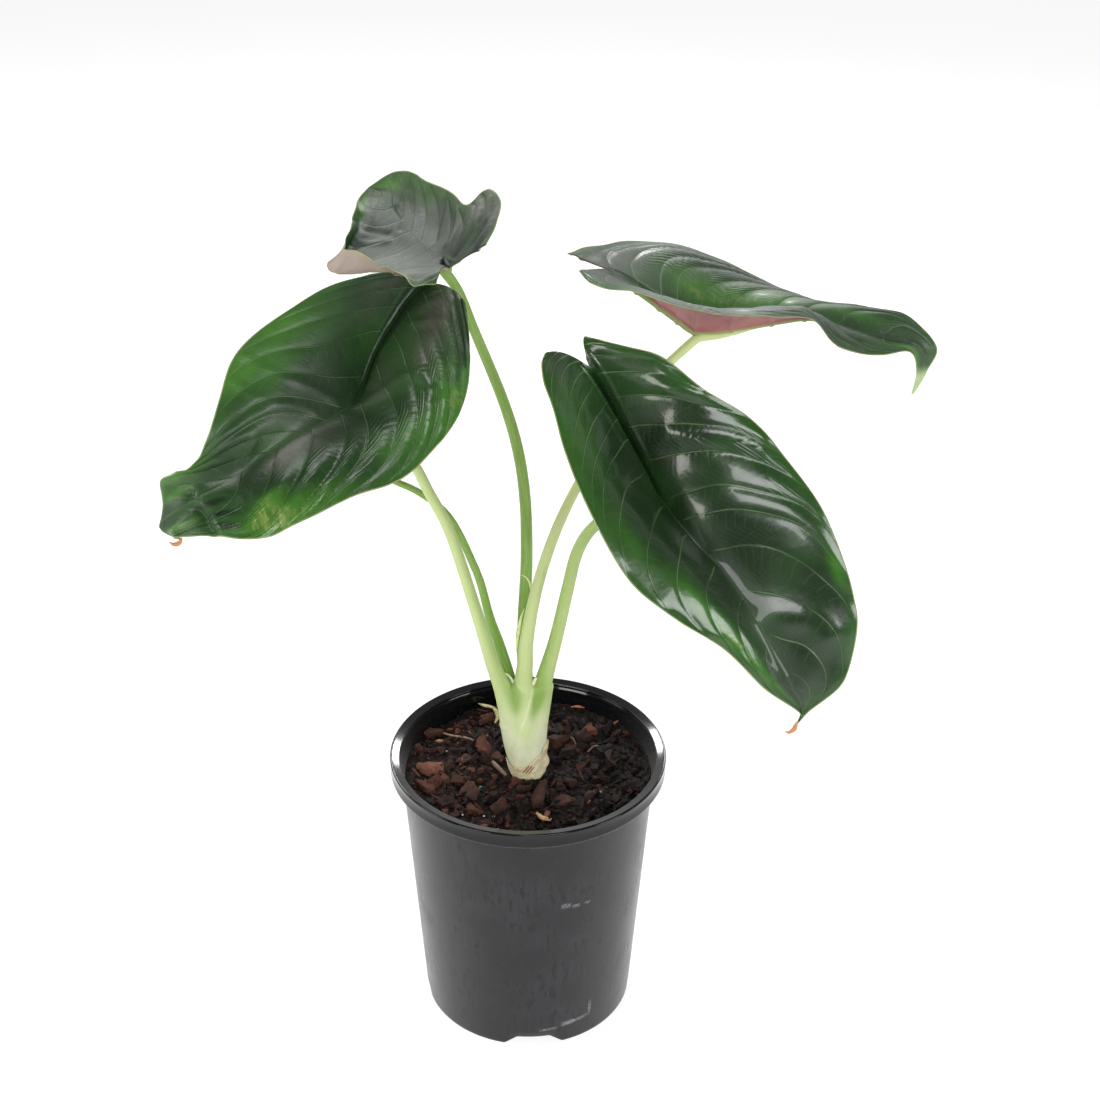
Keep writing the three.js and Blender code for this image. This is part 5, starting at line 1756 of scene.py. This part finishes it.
# Places of the white grains
PERLITE = (
    (-46, -57), (-31, -58), (-24, -58), (-41, -55), (18, 48), (-60, 22), (-21, -72), (30, -20),
    (-12, 62), (52, -28),
)


# Curled dry ends of two leaves, as offsets from the leaf's tip
DRY_TIPS = {
    "right": ((1.5, 0, 5), (1, 0, 2), (0, -0.5, -0.5), (-3, -1, -2.5), (-6, -1, -1.8)),
    "left": ((0.5, 0.5, 1.5), (-0.5, -0.3, -0.8), (-2.5, -0.8, -2.2), (-5, -1, -2.2), (-7, -0.8, -0.8)),
}


def small_things():
    """Litter on the mix, torn ends of the sheaths and the withered tips of two leaves."""
    for name, (path, radii, colour, flat) in STREWN.items():
        small_tube(name, [on_mix(*point) for point in path], radii, colour, flat)
    bead("slow_release_pellet", on_mix(-34, -23, 1.6), 1.7, (0.03, 0.28, 0.19), 0.45)
    for index, (x, y) in enumerate(PERLITE):
        bead(f"perlite_{index}", on_mix(x, y, 0.8), 0.75, (0.62, 0.6, 0.56), 0.8)
    wing = (
        (-2.6, -4, 333.4), (-4.9, -5, 326.3), (-6.6, -6.6, 316.7), (-7.6, -7.5, 309),
        (-7.9, -8.1, 300),
    )
    sliver("sheath_wing", wing, (0.3, 1.6, 3.0, 2.2, 0.4), (0.64, 0.75, 0.33))
    curl = (
        (2.2, -0.4, 343), (1.8, 0.2, 348.5), (0.6, 1.0, 352.4), (-1.8, 2.0, 355.2),
        (-5.5, 2.4, 356.6),
    )
    sliver("sheath_curl", curl, (0.8, 1.3, 1.3, 1.1, 0.3), (0.62, 0.74, 0.30))
    left_tip = ((-10.0, -6.0, 272.5), (-12.3, -6.0, 277.5), (-14.6, -6.4, 280.6), (-17.2, -6.8, 282.4))
    sliver("sheath_tip_left", left_tip, (2.2, 1.8, 1.3, 0.3), (0.80, 0.84, 0.62))
    right_tip = ((0.6, -9.0, 266.0), (2.4, -7.0, 270.0), (4.2, -6.0, 274.0), (6.0, -6.0, 277.6))
    sliver("sheath_tip_right", right_tip, (0.6, 2.2, 3.0, 2.0), (0.80, 0.83, 0.62))
    for name, offsets in DRY_TIPS.items():
        leaf = LEAVES[name]
        tip = place_leaf(leaf, half_blade(leaf, "left", np.array([1.0]), np.array([0.0])))[0]
        path = np.array(offsets) + tip
        sliver("dry_tip_" + name, path, (0.8, 2.4, 3.0, 2.0, 0.4), (0.58, 0.27, 0.11), cup=0.8)


# Upper edge of the papery foot as (angle, height), and the height of its lower edge
PAPER_TOP = (
    (-188, 205), (-150, 206), (-120, 207), (-95, 208), (-75, 212), (-50, 217), (-20, 222), (10, 221),
)
PAPER_FOOT = 193


def papery_foot(skin):
    """The torn, papery base of the oldest sheath, wrapped round the foot of the stem."""
    corners = [vertex.co for vertex in skin.data.vertices]
    tree = BVHTree.FromPolygons(corners, [face.vertices for face in skin.data.polygons])
    angle = np.radians(np.linspace(-188, 10, 150))
    share = np.linspace(0, 1, 22)
    torn = 1.3 * lattice_noise(np.stack([9 * angle, 0 * angle, 0 * angle], -1), 1.0, 41)
    turns, levels = zip(*PAPER_TOP)
    top = np.interp(np.degrees(angle), turns, levels)
    height = PAPER_FOOT + (top + torn - PAPER_FOOT) * share[:, None]
    surface = np.zeros(height.shape + (3,))
    for place in np.ndindex(height.shape):
        out = Vector((cos(angle[place[1]]), sin(angle[place[1]]), 0))
        middle = Vector((-1.5, -2, height[place])) * MM
        hit = tree.ray_cast(middle + out * 40 * MM, -out)[0]
        surface[place] = np.array(hit or middle + out * 12 * MM) / MM
    out = np.stack([np.cos(angle), np.sin(angle), 0 * angle], -1)[None]
    crinkle = 0.55 * lattice_noise(surface, 3.4, 42) + 0.3 * lattice_noise(surface, 1.4, 43)
    flap = 2.0 * bell(np.degrees(angle) + 12, 16)[None] * bell(height - 205, 4.5)
    loose = 0.55 + crinkle + flap + 0.5 * share[:, None]
    outer = surface + out * (loose + 0.2)[..., None]
    inner = surface + out * (loose - 0.2)[..., None]
    points, faces = closed_sheet(outer, inner)
    made = new_object("papery_foot", points, faces)
    finish_piece(made, paper_material())


# Brown scars on the papery foot: x and height of both ends of each stroke
SCARS = (((-3.8, 203.0), (1.4, 211.0)), ((-1.8, 202.4), (3.2, 210.2)), ((0.4, 202.0), (4.6, 208.2)))


def paper_material():
    """Straw-coloured paper with brown scars across its front."""
    shade = Shader("papery_foot")
    x, y, z = shade.axes()
    cloud = shade.noise(160, 4, 0.6)
    grain = shade.noise(600, 4, 0.65, shade.vector(x, y, shade.times(z, 0.25)))
    colour = shade.layered(
        (0.80, 0.74, 0.50),
        (shade.ramp(cloud, 0.35, 0.65), 1, (0.66, 0.55, 0.33)),
        (shade.ramp(grain, 0.5, 0.75, 0.0, 0.5), 1, (0.45, 0.28, 0.15)),
    )
    front = shade.ramp(y, -0.006, -0.004, 1.0, 0.0)
    for (x0, z0), (x1, z1) in SCARS:
        slope = (x1 - x0) / (z1 - z0)
        middle = shade.plus(shade.times(z, slope), (x0 - slope * z0) * MM)
        apart = shade.math("ABSOLUTE", shade.minus(x, middle))
        near = shade.ramp(apart, 0.35 * MM, 0.8 * MM, 1.0, 0.0)
        above = shade.ramp(z, z0 * MM, (z0 + 1) * MM)
        below = shade.ramp(z, (z1 - 1) * MM, z1 * MM, 1.0, 0.0)
        along = shade.times(shade.times(above, below), front)
        colour = shade.layered(colour, (near, along, (0.24, 0.075, 0.03)))
    shade.set(Base_Color=colour, Roughness=0.6)
    shade.set(Subsurface_Weight=0.15, Subsurface_Scale=2.0 * MM)
    shade.set(Normal=shade.bump(grain, 0.4 * MM, 0.9))
    return shade.material


# Light, floor and camera


def floor():
    """A white floor that glows, less far to the sides and in front of the plant."""
    half = FLOOR_HALF_WIDTH / MM
    corners = [(-half, -half, 0), (half, -half, 0), (half, half, 0), (-half, half, 0)]
    made = new_object("floor", corners, [(0, 1, 2, 3)])
    shade = Shader("floor")
    x, y = shade.axes()[:2]
    wide = shade.ramp(shade.math("ABSOLUTE", x), 1.5, 2.6, 1.0, 0.25)
    near = shade.ramp(y, -2.2, -0.8, 0.25, 1.0)
    glow = shade.times(shade.times(wide, near), 0.8)
    shade.set(Base_Color=(0.36, 0.36, 0.36), Roughness=0.9, Specular_IOR_Level=0.1)
    shade.set(Emission_Color=(1.0, 1.0, 1.0), Emission_Strength=glow)
    made.data.materials.append(shade.material)


def studio_world():
    """Dim light from all round, and more of it from behind and low down."""
    world = bpy.data.worlds.new("studio")
    bpy.context.scene.world = world
    world.use_nodes = True
    nodes = Nodes(world.node_tree)
    y, z = nodes.axes("Generated")[1:]
    behind = nodes.ramp(y, 0.1, 0.8)
    low = nodes.ramp(z, 0.48, 0.66, 0.7, 0.1)
    background = nodes.tree.nodes["Background"]
    nodes.feed(background.inputs["Strength"], nodes.total(0.18, (behind, low)))
    nodes.feed(background.inputs["Color"], (1, 1, 1))


def aimed(made, place, aim):
    """Puts a lamp at a place and turns it towards its aim."""
    made.location = place
    made.rotation_euler = (Vector(aim) - Vector(place)).to_track_quat("-Z", "Y").to_euler()


# Softboxes: place, aim, size, brightness and tint
LIGHTS = (
    ("overhead", (-0.34, 0.62, 2.6), (-0.1, -0.1, 0.5), (0.8, 0.8), 6.5, (1, 1, 1)),
    ("back_left", (-1.44, 1.48, 1.75), (-0.1, -0.05, 0.52), (1.6, 1.1), 2.0, (1, 0.95, 0.88)),
    ("back_left_lamp", (-0.46, 1.89, 1.64), (0, 0, 0.25), (0.26, 0.26), 45, (1, 1, 1)),
    ("back_right", (0.85, 2.1, 1.5), (0.1, 0.05, 0.52), (0.9, 0.7), 2.0, (1, 1, 1)),
    ("back_right_lamp", (0.44, 1.98, 1.52), (0, 0, 0.25), (0.26, 0.26), 45, (1, 1, 1)),
    ("right_window", (1.93, -1.0, 0.83), (0.1, 0, 0.4), (0.75, 0.67), 9, (1, 1, 1)),
    ("front_window", (0.5, -2.16, 1.42), (0.13, -0.08, 0.45), (1.45, 0.68), 9, (1, 1, 1)),
    ("low_window", (-1.45, -1.78, 0.5), (0.1, -0.07, 0.47), (1.0, 0.5), 9, (1, 0.96, 0.9)),
    ("left_window", (-2.3, -0.3, 1.5), (0, 0, 0.35), (0.9, 1.1), 6, (1, 1, 1)),
)


def softboxes():
    """Rectangular lamps, whose brightness is the same for any size."""
    for name, place, aim, size, brightness, tint in LIGHTS:
        data = bpy.data.lights.new(name, "AREA")
        data.shape = "RECTANGLE"
        data.size, data.size_y = size
        data.energy = brightness * pi * size[0] * size[1]
        data.color = tint
        made = bpy.data.objects.new(name, data)
        bpy.context.scene.collection.objects.link(made)
        aimed(made, place, aim)


def camera():
    """The camera that sees what the photograph shows."""
    bpy.context.scene.view_settings.view_transform = "Standard"
    data = bpy.data.cameras.new("photograph")
    data.lens = CAMERA_LENS
    data.sensor_width = CAMERA_SENSOR
    data.shift_x = CAMERA_SHIFT
    data.clip_end = 100
    made = bpy.data.objects.new("photograph", data)
    bpy.context.scene.collection.objects.link(made)
    made.location = CAMERA_PLACE
    made.rotation_euler = (radians(90 - CAMERA_PITCH), 0, 0)
    bpy.context.scene.camera = made


# Assembly

for name, leaf in LEAVES.items():
    look = {**LOOK, **OWN_LOOK[name], "funnel": VEINS[name]["funnel"]}
    blade_object(name, leaf, VEINS[name], leaf_material(name, look))

skin, skin_place, stalk_lines = plant_body()
for key, numbers in stem_values(skin_place, stalk_lines).items():
    layer = skin.data.attributes.new(key, "FLOAT", "POINT")
    layer.data.foreach_set("value", numbers.astype(np.float32))
skin.data.materials.append(stem_material())
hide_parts("stem", *["stalk_" + name for name in LEAVES])
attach(skin, "root")

pot_object()
mix_ground()
mix_chips()
small_things()
papery_foot(skin)
floor()
studio_world()
softboxes()
camera()
